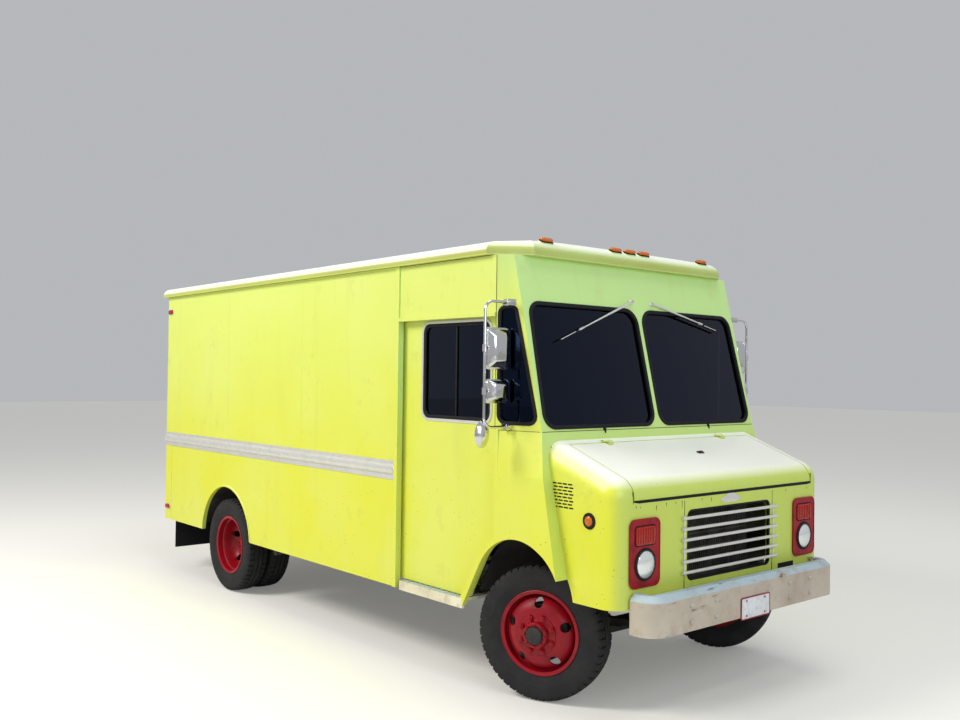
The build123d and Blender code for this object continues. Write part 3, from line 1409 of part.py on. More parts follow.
front_middle = front_wheel_x - kingpin_x
spindle_front_radius = 28
hub_front_section = [(28, spindle_front_radius + running_fit), (28, 60), (56, 60), (56, 176), (28, 176), (28, 185), (68, 185),
                     (68, 140), (110, 140), (110, 78), (165, 78), (165, 48), (188, 48), (188, 0), (152, 0),
                     (152, spindle_front_radius + running_fit)]
hub_rear_section = [(700, spindle_radius + running_fit), (700, 70), (798, 70), (798, 183), (668, 183), (668, 195), (812, 195),
                    (812, 140), (945, 140), (945, 78), (1010, 78), (1010, 60), (1030, 60), (1030, 0),
                    (spindle_end_x + 5, 0), (spindle_end_x + 5, spindle_radius + running_fit)]

for hand, hand_name in ((-1, "right"), (1, "left")):
    start, out = axle_line(hand, True)
    keep(tyre(front_middle, hand, True), f"front_{hand_name}_tyre")
    with BuildPart() as front_wheel:
        add(rim(front_middle, 1, hand, True))
        add(turned([[(front_middle + x, radius) for x, radius in hub_front_section]], hand, True))
        with BuildSketch(Plane(origin=start + out * (front_middle + wheel_offset - 4), z_dir=out)):
            with PolarLocations(stud_circle, stud_count):
                Circle(stud_radius)
        extrude(amount=24)
    keep(front_wheel.part, f"front_{hand_name}_wheel")

    start, out = axle_line(hand, False)
    with BuildPart() as rear_tyres:
        add(tyre(rear_hub_x + wheel_offset, hand, False))
        add(tyre(rear_hub_x - wheel_offset, hand, False))
    keep(rear_tyres.part, f"rear_{hand_name}_tyres")
    with BuildPart() as rear_wheels:
        add(rim(rear_hub_x + wheel_offset, -1, hand, False))
        add(rim(rear_hub_x - wheel_offset, 1, hand, False))
        add(turned([hub_rear_section], hand, False))
        with BuildSketch(Plane(origin=start + out * (rear_hub_x + 6), z_dir=out)):
            with PolarLocations(stud_circle, stud_count):
                Circle(stud_radius)
        extrude(amount=28)
    keep(rear_wheels.part, f"rear_{hand_name}_wheels")

# Steering knuckles: a yoke round the beam's eye, the kingpin, the spindle, the backing plate and the arm
arm_reach = 160
arm_z = 350
yoke_gap = 0.3
ball_radius = 10
for hand, hand_name in ((-1, "right"), (1, "left")):
    start, out = axle_line(hand, True)
    foot = Vector(start.X, start.Y, 0)
    rear = Vector(-sin(radians(steer_at_rest)), cos(radians(steer_at_rest)), 0)
    with BuildPart() as knuckle:
        for bottom, top in ((345, eye_bottom_z - yoke_gap), (eye_top_z + yoke_gap, 505)):
            with BuildSketch(Plane(origin=foot + Vector(0, 0, bottom), x_dir=out)):
                Circle(38)
                with Locations((38, 0)):
                    Rectangle(76, 76)
            extrude(amount=top - bottom)
        with BuildSketch(Plane(origin=foot + Vector(0, 0, 345), x_dir=out)):
            with Locations((64, 0)):
                Rectangle(24, 90)
        extrude(amount=160)
        with BuildSketch(Plane(origin=foot + Vector(0, 0, 345), x_dir=out)):
            Circle(kingpin_radius)
        extrude(amount=160)
        with BuildSketch(Plane(origin=start + out * 60, z_dir=out)):
            Circle(spindle_front_radius)
        extrude(amount=front_middle + 151 - 60)
        with BuildSketch(Plane(origin=start + out * 75, z_dir=out)):
            Circle(172)
        extrude(amount=8)
        with BuildSketch(Plane(origin=foot + Vector(0, 0, arm_z), x_dir=rear)):
            with Locations((arm_reach / 2, 0)):
                SlotCenterToCenter(arm_reach, 36)
        extrude(amount=26)
        with BuildSketch(Plane(origin=foot + rear * arm_reach + Vector(0, 0, arm_z - 28), x_dir=rear)):
            Circle(ball_radius)
        extrude(amount=28)
    keep(knuckle.part, f"{hand_name}_knuckle")

# Tie rod between the two steering arms
rod_eye_height = 22
rod_z = arm_z - seat_gap - rod_eye_height / 2
rod_ends = [axle_line(hand, True)[0] + rear * arm_reach for hand in (-1, 1)]
with BuildPart() as tie_rod:
    with BuildSketch(Plane(origin=(rod_ends[0].X, rod_ends[0].Y, rod_z), z_dir=(1, 0, 0))):
        Circle(10)
    extrude(amount=(rod_ends[1] - rod_ends[0]).length)
    for end in rod_ends:
        with BuildSketch(Plane(origin=(end.X, end.Y, rod_z - rod_eye_height / 2))):
            Circle(24)
        extrude(amount=rod_eye_height)
        with BuildSketch(Plane(origin=(end.X, end.Y, rod_z - rod_eye_height))):
            Circle(ball_radius + running_fit)
        extrude(amount=2 * rod_eye_height, mode=Mode.SUBTRACT)
keep(tie_rod.part, "tie_rod")
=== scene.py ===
import json
from math import atan, atan2, cos, pi, radians, sin, sqrt, tan

import bpy
from mathutils import Matrix, Vector


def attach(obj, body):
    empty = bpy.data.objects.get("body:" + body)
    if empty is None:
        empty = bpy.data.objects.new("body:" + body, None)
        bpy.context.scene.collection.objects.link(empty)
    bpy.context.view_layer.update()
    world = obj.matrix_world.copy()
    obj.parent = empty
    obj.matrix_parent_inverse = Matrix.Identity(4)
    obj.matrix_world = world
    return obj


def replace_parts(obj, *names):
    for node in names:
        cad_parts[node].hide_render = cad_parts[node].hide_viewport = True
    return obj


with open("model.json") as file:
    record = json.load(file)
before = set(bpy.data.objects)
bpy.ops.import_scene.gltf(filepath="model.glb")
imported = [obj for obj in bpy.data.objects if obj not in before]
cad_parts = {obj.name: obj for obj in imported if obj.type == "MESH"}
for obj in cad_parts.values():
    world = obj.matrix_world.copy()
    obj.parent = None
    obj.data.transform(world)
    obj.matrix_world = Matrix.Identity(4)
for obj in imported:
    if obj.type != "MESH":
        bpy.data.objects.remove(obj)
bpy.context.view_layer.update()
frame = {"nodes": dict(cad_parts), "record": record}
nodes = frame["nodes"]

# Driving places: +Y runs to the rear. Lengths called "back" are millimetres behind the middle of
# the front wheel arch, as in the part's own drawings.
arch_y = -2.3225
front_axle_y = arch_y + 0.030
body_half_width = 1200
weld = 0.00005
hands = (-1, 1)


# Finishes

def linear(hex_colour):
    """An sRGB hex colour as linear red, green, blue and alpha."""
    channels = [int(hex_colour[i:i + 2], 16) / 255 for i in (1, 3, 5)]
    return tuple(c / 12.92 if c <= 0.04045 else ((c + 0.055) / 1.055) ** 2.4 for c in channels) + (1.0,)


class Finish:
    """A material in the making, with the object's own coordinates to lay its patterns on."""

    def __init__(self, name):
        self.material = bpy.data.materials.new(name)
        self.material.use_nodes = True
        self.tree = self.material.node_tree
        self.shader = self.tree.nodes["Principled BSDF"]
        self.place = self.add("ShaderNodeTexCoord").outputs["Object"]

    def feed(self, node, inputs):
        """Sets inputs: each is a value, a hex colour, or the output socket that feeds it."""
        for name, value in inputs.items():
            if isinstance(value, bpy.types.NodeSocket):
                self.tree.links.new(value, node.inputs[name])
            else:
                node.inputs[name].default_value = linear(value) if isinstance(value, str) else value

    def add(self, kind, inputs=None, **settings):
        """Adds a node with its settings and inputs."""
        node = self.tree.nodes.new(kind)
        for name, value in settings.items():
            setattr(node, name, value)
        self.feed(node, inputs or {})
        return node

    def mixed(self, factor, low, high):
        """A colour between two, by a factor."""
        return self.add("ShaderNodeMix", {"Factor": factor, 6: low, 7: high}, data_type="RGBA").outputs[2]

    def coated(self, base, *coats):
        """A base colour under coats, each a share and a colour."""
        for share, colour in coats:
            base = self.mixed(share, base, colour)
        return base

    def steps(self, factor, low, high, from_value=0.0, to_value=1.0):
        """A factor stretched between two limits."""
        return self.add("ShaderNodeMapRange", {"Value": factor, "From Min": low, "From Max": high,
                                               "To Min": from_value, "To Max": to_value}).outputs["Result"]

    def times(self, first, second):
        """The product of two factors."""
        return self.add("ShaderNodeMath", {0: first, 1: second}, operation="MULTIPLY").outputs[0]

    def noise(self, size_mm, detail=3, rough=0.5, scale=None):
        """Noise whose features are about size_mm across, or drawn out by a scale along each axis."""
        place = self.place
        if scale:
            place = self.add("ShaderNodeMapping", {"Vector": place, "Scale": scale}).outputs["Vector"]
        return self.add("ShaderNodeTexNoise", {"Vector": place, "Scale": 1000 / size_mm, "Detail": detail,
                                               "Roughness": rough}).outputs["Fac"]

    def cells(self, scale):
        """Distance to the nearest of scattered points."""
        return self.add("ShaderNodeTexVoronoi", {"Vector": self.place, "Scale": scale}).outputs["Distance"]

    def facing(self):
        """How far a surface faces along x, towards the rear and upwards, each from -1 to 1."""
        normal = self.add("ShaderNodeNewGeometry").outputs["Normal"]
        return self.add("ShaderNodeSeparateXYZ", {"Vector": normal}).outputs

    def done(self, inputs, height=None, depth_mm=0.0):
        """The material with its shader's inputs set, its surface raised to a real depth by a height."""
        self.feed(self.shader, inputs)
        if height is not None:
            raised = self.add("ShaderNodeBump", {"Height": height, "Distance": depth_mm / 1000,
                                                 "Strength": 1.0})
            self.feed(self.shader, {"Normal": raised.outputs["Normal"]})
        return self.material


# Lime enamel, sprayed over aluminium panels years ago. The roof and the hood's top are painted nearly
# white, partly chalked by the sun and partly a painted highlight. The front faces carry painted shade,
# greener than the sides, and the roof's brow carries a band of painted olive shade. The paint also carries
# orange peel, faint clouds, dirt streaks under its seams and brown specks low down.
def lime_enamel():
    make = Finish("lime_enamel")
    height = make.add("ShaderNodeSeparateXYZ", {"Vector": make.place}).outputs["Z"]
    faces = make.facing()
    clouds = make.noise(900, 4, 0.55)
    # Painted shade: front faces turn olive low on the nose and mint higher up, standing in for the shade on
    # the front.
    painted_shade_green = make.mixed(make.steps(height, 1.3, 1.9), "#B9CB5C", "#B9DF92")
    # Painted shade: an olive band over the roof's brow, just above the drip line.
    brow_painted_shade = make.times(make.steps(height, 2.80, 2.815), make.steps(height, 2.90, 2.84))
    # Pale band along the roof's side shoulder: partly sun chalk, partly painted highlight.
    shoulder = make.times(make.steps(height, 2.825, 2.84), make.steps(faces["Z"], -0.2, 0.3))
    specks = make.times(make.steps(make.cells(26), 0.11, 0.05), make.steps(make.noise(260, 2), 0.50, 0.60))
    body = make.coated(
        make.mixed(make.steps(height, 1.1, 2.8), "#DADC2C", "#D4E26C"),
        (make.steps(clouds, 0.40, 0.68, 0.0, 0.45), "#D9E47C"),
        # painted shade on the front faces
        (make.steps(faces["Y"], -0.45, -0.95, 0.0, 0.85), painted_shade_green),
        (make.steps(make.noise(160, 5, 0.62), 0.60, 0.78, 0.0, 0.3), "#B3B650"),
        (make.steps(make.noise(150, 3, 0.5, (1, 1, 0.12)), 0.55, 0.80, 0.0, 0.14), "#A9AE58"),
        # painted olive shade on the roof's brow
        (make.times(brow_painted_shade, make.steps(clouds, 0.2, 0.6, 0.55, 0.85)), "#A6A94C"),
        # the shoulder band and the upward faces: partly sun chalk, partly painted highlight
        (make.times(shoulder, make.steps(faces["Y"], -0.75, -0.3)), "#E9ECC8"),
        (make.steps(faces["Z"], 0.42, 0.92), "#F1F2E6"),
        (make.times(specks, make.steps(height, 1.75, 1.1)), "#6B5A2A"),
    )
    return make.done({"Base Color": body, "Roughness": make.steps(make.noise(300, 3), 0.3, 0.7, 0.36, 0.52),
                      "Coat Weight": 0.2, "Coat Roughness": 0.15}, make.noise(9, 2), 0.08)


# Red enamel brushed over steel wheels, dulled by brake dust in the hollows.
def red_enamel():
    make = Finish("red_enamel")
    dust = make.steps(make.noise(70, 4, 0.6), 0.45, 0.75, 0.0, 0.5)
    return make.done({"Base Color": make.mixed(dust, "#930418", "#38060F"), "Specular IOR Level": 0.35,
                      "Roughness": make.steps(dust, 0, 0.5, 0.34, 0.6)}, make.noise(12, 3), 0.12)


# Off-white enamel on pressed steel, dull grey-beige with road film, with painted blue sky light on its
# top ledges, and chipped to rust along scuffs.
def cream_enamel(name, pale, dull):
    make = Finish(name)
    patches = make.noise(130, 6, 0.7)
    scuffs = make.times(make.steps(make.noise(40, 5, 0.7, (0.12, 0.12, 1)), 0.60, 0.66),
                        make.steps(make.noise(300, 2), 0.48, 0.60))
    rust = make.steps(patches, 0.66, 0.70)
    paint = make.coated(make.mixed(make.steps(make.noise(420, 3), 0.35, 0.7), pale, dull),
                        # Painted sky light: upward faces are tinted blue-grey.
                        (make.steps(make.facing()["Z"], 0.3, 0.75), "#A3B6BF"),
                        (make.steps(patches, 0.5, 0.68, 0.0, 0.5), "#96806A"),
                        (scuffs, "#5C5A58"), (rust, "#6A4128"))
    return make.done({"Base Color": paint, "Roughness": make.steps(rust, 0, 1, 0.42, 0.85)}, patches, 0.5)


# Extruded aluminium: bright, with lengthwise drawing lines and a dull oxide.
def drawn_aluminium():
    make = Finish("drawn_aluminium")
    lines = make.noise(83, 3, 0.5, (30, 0.6, 30))
    return make.done({"Base Color": make.mixed(make.noise(90, 4), "#E9E8E2", "#D2D1CA"), "Metallic": 0.55,
                      "Roughness": make.steps(lines, 0.3, 0.7, 0.26, 0.44)}, lines, 0.05)


# Chrome plate or silvered glass, with a few hazy patches.
def mirror_bright(name, colour, size_mm, detail, haze):
    make = Finish(name)
    return make.done({"Base Color": colour, "Metallic": 1.0,
                      "Roughness": make.steps(make.noise(size_mm, detail), *haze)})


# Tinted safety glass that looks blue-black from outside, with a faint film of dust.
def tinted_glass():
    make = Finish("window_glass")
    return make.done({"Base Color": "#1B2840", "Specular Tint": "#7E98D8", "Transmission Weight": 1.0,
                      "IOR": 1.5, "Roughness": make.steps(make.noise(240, 4), 0.4, 0.8, 0.0, 0.05)})


# Moulded acrylic lens of one colour, ribbed inside.
def lens(name, colour):
    make = Finish(name)
    wave = {"Vector": make.place, "Scale": 40, "Distortion": 0.5}
    ribs = make.add("ShaderNodeTexWave", wave).outputs["Fac"]
    return make.done({"Base Color": colour, "Transmission Weight": 0.35, "Roughness": 0.18,
                      "Subsurface Weight": 0.2}, ribs, 0.4)


# Sealed-beam headlamp glass with moulded flutes.
def headlamp_glass():
    make = Finish("headlamp_glass")
    flutes = make.add("ShaderNodeTexWave", {"Vector": make.place, "Scale": 24}).outputs["Fac"]
    return make.done({"Base Color": "#E8ECEA", "Roughness": 0.08, "Metallic": 0.55, "Coat Weight": 1.0},
                     flutes, 0.6)


def worn(name, clean, grimy, patches, share, grain, depth_mm, inputs):
    """Two colours in patches of noise, stretched to a share where one is given, over a fine grain."""
    make = Finish(name)
    spread = make.noise(*patches)
    if share:
        spread = make.steps(spread, *share)
    height = make.noise(*grain) if isinstance(grain, tuple) else make.cells(grain)
    return make.done({"Base Color": make.mixed(spread, clean, grimy), **inputs}, height, depth_mm)


# Every finish is a slot of the record with its material.
lime = ("lime_paint", lime_enamel())
red = ("red_paint", red_enamel())
# The bumper's cream is a darker copy than the steps': partly road film, partly painted shade of the front it
# faces.
cream = ("cream_paint", cream_enamel("cream_enamel", "#BDB2A2", "#A79A8B"))
step_cream = ("cream_paint", cream_enamel("step_enamel", "#EAE5C8", "#D5CCAC"))
bright = ("bright_metal", drawn_aluminium())
chromed = ("chrome", mirror_bright("chrome_plate", "#DDDDDD", 60, 4, (0.5, 0.75, 0.06, 0.3)))
silvered = ("chrome", mirror_bright("silvered_glass", "#C9D2D8", 80, 3, (0.5, 0.8, 0.02, 0.12)))
glass = ("window_glass", tinted_glass())
amber = ("amber_lens", lens("amber_lens", "#E8791A"))
turn_red = ("amber_lens", lens("turn_lens", "#C0200C"))
red_lens = ("red_lens", lens("red_lens", "#B80F12"))
headlamp = ("lamp_glass", headlamp_glass())
# Black chassis paint, matt with road dust.
black = ("chassis_black", worn("chassis_paint", "#17171A", "#4A423A", (180, 5, 0.6), (0.4, 0.75, 0.0, 0.55),
                               (14, 4), 0.25, {"Roughness": 0.72}))
# Rust that has run down from seams and rivets.
rust = ("cast_metal", worn("run_rust", "#4A2C18", "#7A5226", (12, 3), None, (2, 3), 0.2, {"Roughness": 0.9}))
# Grey cast iron and oily steel of the engine and radiator.
iron = ("cast_metal", worn("cast_iron", "#4C4A48", "#2B2420", (120, 5, 0.65), (0.4, 0.7), (5, 3), 0.3,
                           {"Metallic": 0.6, "Roughness": 0.6}))
# Reflective sheeting on a pressed plate, off-white with a film of road dirt.
sheeting = ("bright_metal", worn("plate_sheeting", "#D6D9DE", "#A49C8E", (40, 4, 0.6), (0.45, 0.75, 0.0, 0.5),
                                 (3, 2), 0.05, {"Roughness": 0.45}))
# Tyre rubber, greyed by dust on the walls, and the black rubber of seals and flaps.
tread_rubber = ("tyre", worn("tyre_rubber", "#121215", "#2E2B2A", (110, 4, 0.6), (0.4, 0.75, 0.0, 0.5),
                             (4, 3), 0.2, {"Roughness": 0.82}))
rubber = ("flap_rubber", worn("seal_rubber", "#08080C", "#15151B", (50, 3), None, (3, 2), 0.1,
                              {"Roughness": 0.7, "Specular IOR Level": 0.3}))
# Grained black moulded plastic, and coated seat vinyl that is a little shiny where it is sat on.
plastic = ("black_plastic", worn("grained_plastic", "#161618", "#26241F", (80, 3), None, 500, 0.15,
                                 {"Roughness": 0.55}))
vinyl = ("seat_vinyl", worn("seat_vinyl", "#1B1A1B", "#2E2A28", (140, 4), None, 420, 0.2,
                            {"Roughness": 0.42}))
# Grey floor paint, worn and dusty.
floor_grey = ("floor_paint", worn("floor_paint", "#5B5D59", "#46433C", (200, 5, 0.6), (0.4, 0.7),
                                  (10, 3), 0.2, {"Roughness": 0.7}))
# Open seams show black on painted pieces.
dark = ("chassis_black", rubber[1])

slot_finish = dict([lime, floor_grey, cream, black, iron, red, bright, chromed, glass, headlamp, amber,
                    red_lens, tread_rubber, rubber, plastic, vinyl])
for part in frame["record"]["subparts"]:
    mesh = nodes[part["node"]].data
    mesh.materials.clear()
    finish = step_cream[1] if part["node"] == "step_boards" else slot_finish[part["material_slot"]]
    mesh.materials.append(finish)


# Modelling by hand: every helper leaves one object, active and alone in the selection

def alone(piece):
    """Selects one object and nothing else."""
    bpy.ops.object.select_all(action="DESELECT")
    piece.select_set(True)
    bpy.context.view_layer.objects.active = piece


def opened():
    """Opens the active object's mesh, with all of it selected."""
    bpy.ops.object.mode_set(mode="EDIT")
    bpy.ops.mesh.select_all(action="SELECT")


def welded():
    """Welds the open mesh's points, turns its faces outwards and closes it."""
    bpy.ops.mesh.select_all(action="SELECT")
    bpy.ops.mesh.remove_doubles(threshold=weld)
    bpy.ops.mesh.normals_make_consistent(inside=False)
    bpy.ops.object.mode_set(mode="OBJECT")


def normals_out(piece):
    """Turns the faces of closed shells outwards."""
    alone(piece)
    opened()
    bpy.ops.mesh.normals_make_consistent(inside=False)
    bpy.ops.object.mode_set(mode="OBJECT")


def placing_applied():
    """Puts the active object's place into its mesh."""
    bpy.ops.object.transform_apply(location=True, rotation=True, scale=True)


def drawn(points):
    """A chain of edges through the points, pulled out of a single vertex."""
    bpy.ops.object.select_all(action="DESELECT")
    bpy.ops.mesh.primitive_plane_add(size=0.1, location=points[0])
    bpy.ops.object.mode_set(mode="EDIT")
    bpy.ops.mesh.select_mode(type="VERT")
    bpy.ops.mesh.select_all(action="SELECT")
    bpy.ops.mesh.merge(type="CENTER")
    for near, far in zip(points, points[1:]):
        bpy.ops.mesh.extrude_region_move(TRANSFORM_OT_translate={"value": Vector(far) - Vector(near)})
    bpy.ops.mesh.select_all(action="SELECT")
    bpy.ops.mesh.remove_doubles(threshold=weld)
    bpy.ops.object.mode_set(mode="OBJECT")
    placing_applied()
    return bpy.context.object


def turned(outline, segments, place):
    """An outline of (out, radius) in millimetres turned round the X axis, then put in its place."""
    ends = outline if outline[0][1] == 0 else outline + outline[:1]
    piece = drawn([(out / 1000, 0, radius / 1000) for out, radius in ends])
    opened()
    bpy.ops.mesh.spin(steps=segments, angle=2 * pi, center=(0, 0, 0), axis=(1, 0, 0))
    welded()
    piece.data.transform(place)
    return piece


def choose(piece, wanted):
    """In edit mode, selects the faces for which wanted(centre, normal) is true."""
    alone(piece)
    bpy.ops.object.mode_set(mode="EDIT")
    bpy.ops.mesh.select_mode(type="FACE")
    bpy.ops.mesh.select_all(action="DESELECT")
    bpy.ops.object.mode_set(mode="OBJECT")
    for polygon in piece.data.polygons:
        polygon.select = bool(wanted(polygon.center, polygon.normal))
    bpy.ops.object.mode_set(mode="EDIT")


def applied(piece, kind, **settings):
    """Adds a modifier with its settings and applies it."""
    alone(piece)
    modifier = piece.modifiers.new(kind.lower(), kind)
    for name, value in settings.items():
        setattr(modifier, name, value)
    bpy.ops.object.modifier_apply(modifier=modifier.name)


def copied(piece, matrix):
    """A copy with its own mesh, moved by a matrix."""
    twin = piece.copy()
    twin.data = piece.data.copy()
    bpy.context.scene.collection.objects.link(twin)
    twin.data.transform(matrix)
    return twin


def joined(pieces):
    """Several objects as one."""
    bpy.ops.object.select_all(action="DESELECT")
    for piece in pieces:
        piece.select_set(True)
    bpy.context.view_layer.objects.active = pieces[0]
    if len(pieces) > 1:
        bpy.ops.object.join()
    return bpy.context.object


def settled(pieces, name, finish, body="body", smooth=35):
    """Joins finished pieces and gives them their name, finish and body, with their place in the mesh."""
    piece = joined(pieces)
    slot, material = finish
    placing_applied()
    bpy.ops.object.shade_smooth_by_angle(angle=radians(smooth))
    piece.name = name
    piece.data.name = name
    piece.data.materials.clear()
    piece.data.materials.append(material)
    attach(piece, body)
    return piece


# Flat and bent work. Outlines are in millimetres on the first two directions of a place,
# and the third direction points out of the van.

def placed(origin, across, up):
    """A place from its origin as (x, back, height) in millimetres and two directions."""
    across = Vector(across).normalized()
    up = Vector(up).normalized()
    place = Matrix((across, up, across.cross(up))).transposed().to_4x4()
    return Matrix.Translation((origin[0] / 1000, arch_y + origin[1] / 1000, origin[2] / 1000)) @ place


def at_side(x):
    """The right side at x: back, height, outwards."""
    return Matrix(((0, 0, -1, x / 1000), (1, 0, 0, arch_y), (0, 1, 0, 0), (0, 0, 0, 1)))


def at_front(back):
    """A plane across the van: x, height, forwards."""
    return placed((0, back, 0), (1, 0, 0), (0, 0, 1))


def at_rear(back):
    """A plane across the van: x, height, rearwards."""
    return Matrix(((1, 0, 0, 0), (0, 0, 1, arch_y + back / 1000), (0, 1, 0, 0), (0, 0, 0, 1)))


def level(z):
    """A level plane: x, back, upwards."""
    return placed((0, 0, z), (1, 0, 0), (0, 1, 0))


def moved(x, y, z=0):
    """A move along a place's three directions, in millimetres."""
    return Matrix.Translation((x / 1000, y / 1000, z / 1000))


def rounded_face(corners, rounding, segments=5):
    """A flat face from its corners, each rounded with its own radius or all with one."""
    radii = rounding if isinstance(rounding, list) else [rounding] * len(corners)
    points = [Vector((x / 1000, y / 1000, 0)) for x, y in corners]
    piece = drawn(points + points[:1])
    opened()
    bpy.ops.mesh.edge_face_add()
    for index, radius in enumerate(radii):
        if not radius:
            continue
        before, corner, after = points[index - 1], points[index], points[(index + 1) % len(points)]
        half_angle = (before - corner).angle(after - corner) / 2
        bpy.ops.mesh.select_all(action="DESELECT")
        bpy.ops.object.mode_set(mode="OBJECT")
        for vertex in piece.data.vertices:
            vertex.select = (vertex.co - corner).length < weld
        bpy.ops.object.mode_set(mode="EDIT")
        bpy.ops.mesh.select_mode(type="VERT")
        bpy.ops.mesh.bevel(affect="VERTICES", offset=radius / 1000 / tan(half_angle), segments=segments,
                           profile=0.5)
    bpy.ops.mesh.select_all(action="SELECT")
    bpy.ops.object.mode_set(mode="OBJECT")
    return piece


def thickened(piece, low, high, place, bevel):
    """Pulls a flat face out from low to high, sets it in its place and eases its edges."""
    alone(piece)
    opened()
    bpy.ops.mesh.extrude_region_move(TRANSFORM_OT_translate={"value": (0, 0, (high - low) / 1000)})
    bpy.ops.object.mode_set(mode="OBJECT")
    piece.data.transform(place @ moved(0, 0, low))
    normals_out(piece)
    if bevel:
        applied(piece, "BEVEL", width=bevel / 1000, segments=2, limit_method="ANGLE", angle_limit=radians(50))
    return piece


def slab(corners, rounding, low, high, place, bevel=0):
    """A plate with rounded corners."""
    return thickened(rounded_face(corners, rounding), low, high, place, bevel)


def ring(corners, rounding, width, low, high, place, bevel=0, segments=5):
    """A frame of one width inside a rounded outline."""
    piece = rounded_face(corners, rounding, segments)
    bpy.ops.object.mode_set(mode="EDIT")
    bpy.ops.mesh.select_mode(type="FACE")
    bpy.ops.mesh.select_all(action="SELECT")
    bpy.ops.mesh.inset(thickness=width / 1000)
    bpy.ops.mesh.delete(type="FACE")
    bpy.ops.object.mode_set(mode="OBJECT")
    return thickened(piece, low, high, place, bevel)


def four(left, right, bottom, top):
    """The corners between four sides."""
    return [(left, bottom), (right, bottom), (right, top), (left, top)]


def block(left, right, bottom, top, rounding, low, high, place, bevel=0):
    """A plate from its four sides."""
    return slab(four(left, right, bottom, top), rounding, low, high, place, bevel)


def hoop(left, right, bottom, top, rounding, width, low, high, place, bevel=0):
    """A frame from its four outer sides."""
    return ring(four(left, right, bottom, top), rounding, width, low, high, place, bevel)


def tile(x, y, half_x, half_y, *rest):
    """A plate from its middle and half sizes."""
    return block(x - half_x, x + half_x, y - half_y, y + half_y, *rest)


def rim(x, y, half_x, half_y, *rest):
    """A frame from its middle and outer half sizes."""
    return hoop(x - half_x, x + half_x, y - half_y, y + half_y, *rest)


def bent(points, rounding):
    """The points of a run of straight tube with its corners bent to a radius, in millimetres."""
    points = [Vector(point) for point in points]
    line = [points[0]]
    for before, corner, after in zip(points, points[1:], points[2:]):
        towards = (before - corner).normalized()
        onwards = (after - corner).normalized()
        half_angle = towards.angle(onwards) / 2
        reach = rounding / tan(half_angle)
        middle = corner + (towards + onwards).normalized() * rounding / sin(half_angle)
        start_arm = corner + towards * reach - middle
        end_arm = corner + onwards * reach - middle
        for index in range(7):
            line.append(middle + start_arm.lerp(end_arm, index / 6).normalized() * rounding)
    return line + [points[-1]]


def tube(points, radius, rounding=0, place=None, sides=4):
    """A round bar or tube along points in millimetres, as (x, back, height)."""
    line = bent(points, rounding) if rounding else [Vector(point) for point in points]
    drawn([point / 1000 for point in line])
    bpy.ops.object.convert(target="CURVE")
    curve = bpy.context.object.data
    curve.bevel_depth = radius / 1000
    curve.bevel_resolution = sides
    curve.use_fill_caps = True
    bpy.ops.object.convert(target="MESH")
    piece = bpy.context.object
    piece.data.transform(place or Matrix.Translation((0, arch_y, 0)))
    opened()
    welded()
    return piece


def boss(outline, x, y, place, segments=24):
    """A round piece turned about the third direction of a place, from an outline of (out, radius)."""
    lie = Matrix(((0, 1, 0, x / 1000), (0, 0, 1, y / 1000), (1, 0, 0, 0), (0, 0, 0, 1)))
    piece = turned(outline, segments, place @ lie)
    normals_out(piece)
    return piece


def rivet_row(start, end, count, place, out=0.0, radius=5.5, height=2.4):
    """Round rivet heads in a line, from start to end in millimetres on a place."""
    outline = [(-1, 0), (-1, radius), (height * 0.4, radius * 0.9), (height, 0)]
    model = boss(outline, 0, 0, Matrix.Identity(4), 8)
    heads = []
    for index in range(count):
        share = index / max(count - 1, 1)
        x, y = (near + (far - near) * share for near, far in zip(start, end))
        heads.append(copied(model, place @ moved(x, y, out)))
    bpy.data.objects.remove(model)
    row = joined(heads)
    normals_out(row)
    return row


def other_side(piece):
    """A mirror image of the piece on the other side of the van."""
    twin = copied(piece, Matrix.Scale(-1, 4, (1, 0, 0)))
    normals_out(twin)
    return twin


def flipped(piece):
    """The piece on the other side of the van instead of on its own."""
    twin = other_side(piece)
    bpy.data.objects.remove(piece)
    return twin


def pair(pieces):
    """Pieces of the right side joined with their mirror images, as a list of one."""
    one = joined(pieces)
    return [joined([one, other_side(one)])]


# Wheels. Sizes in millimetres, as (out along the axle, radius)

axle_z = 0.425
kingpin_x = 0.88
front_middle = 61  # kingpin to the middle of the tyre
rear_axle_back = 3988
rear_middles = (834, 1066)
hub_out = 950
steer_at_rest = radians(22)
sides = {"right": -1, "left": 1}

tread_half = [(5, 424.8), (37, 424.5), (38, 414), (46, 413.5), (47, 424), (84, 419)]
wall_half = [(92, 411), (97, 396), (100.5, 372), (100.8, 350), (99.2, 334), (99.8, 330), (98.2, 326),
             (95, 304), (90, 287), (84.5, 275), (85.5, 271), (81, 266), (77, 258), (76, 251)]
tyre_segments = 200
slit_every = 4
slit_reach = 0.05  # slits lie further out than this from the tyre's middle
slit_radius = 0.397


def tyre_shape():
    """A ribbed truck tyre with slits across its shoulders, round the X axis."""
    outward = [(-4, 414), (4, 414)] + tread_half + wall_half
    mirrored = [(-out, radius) for out, radius in reversed(tread_half + wall_half)]
    piece = turned(mirrored + outward, tyre_segments, Matrix.Identity(4))
    step = 2 * pi / tyre_segments

    def in_slit(centre, normal):
        turn = int((atan2(centre.y, centre.z) % (2 * pi)) / step)
        radius = (centre.y ** 2 + centre.z ** 2) ** 0.5
        return turn % slit_every == 0 and abs(centre.x) > slit_reach and radius > slit_radius

    choose(piece, in_slit)
    bpy.ops.mesh.extrude_region_move()
    bpy.ops.transform.resize(value=(1, 0.98, 0.98), center_override=(0, 0, 0))
    bpy.ops.object.mode_set(mode="OBJECT")
    return piece


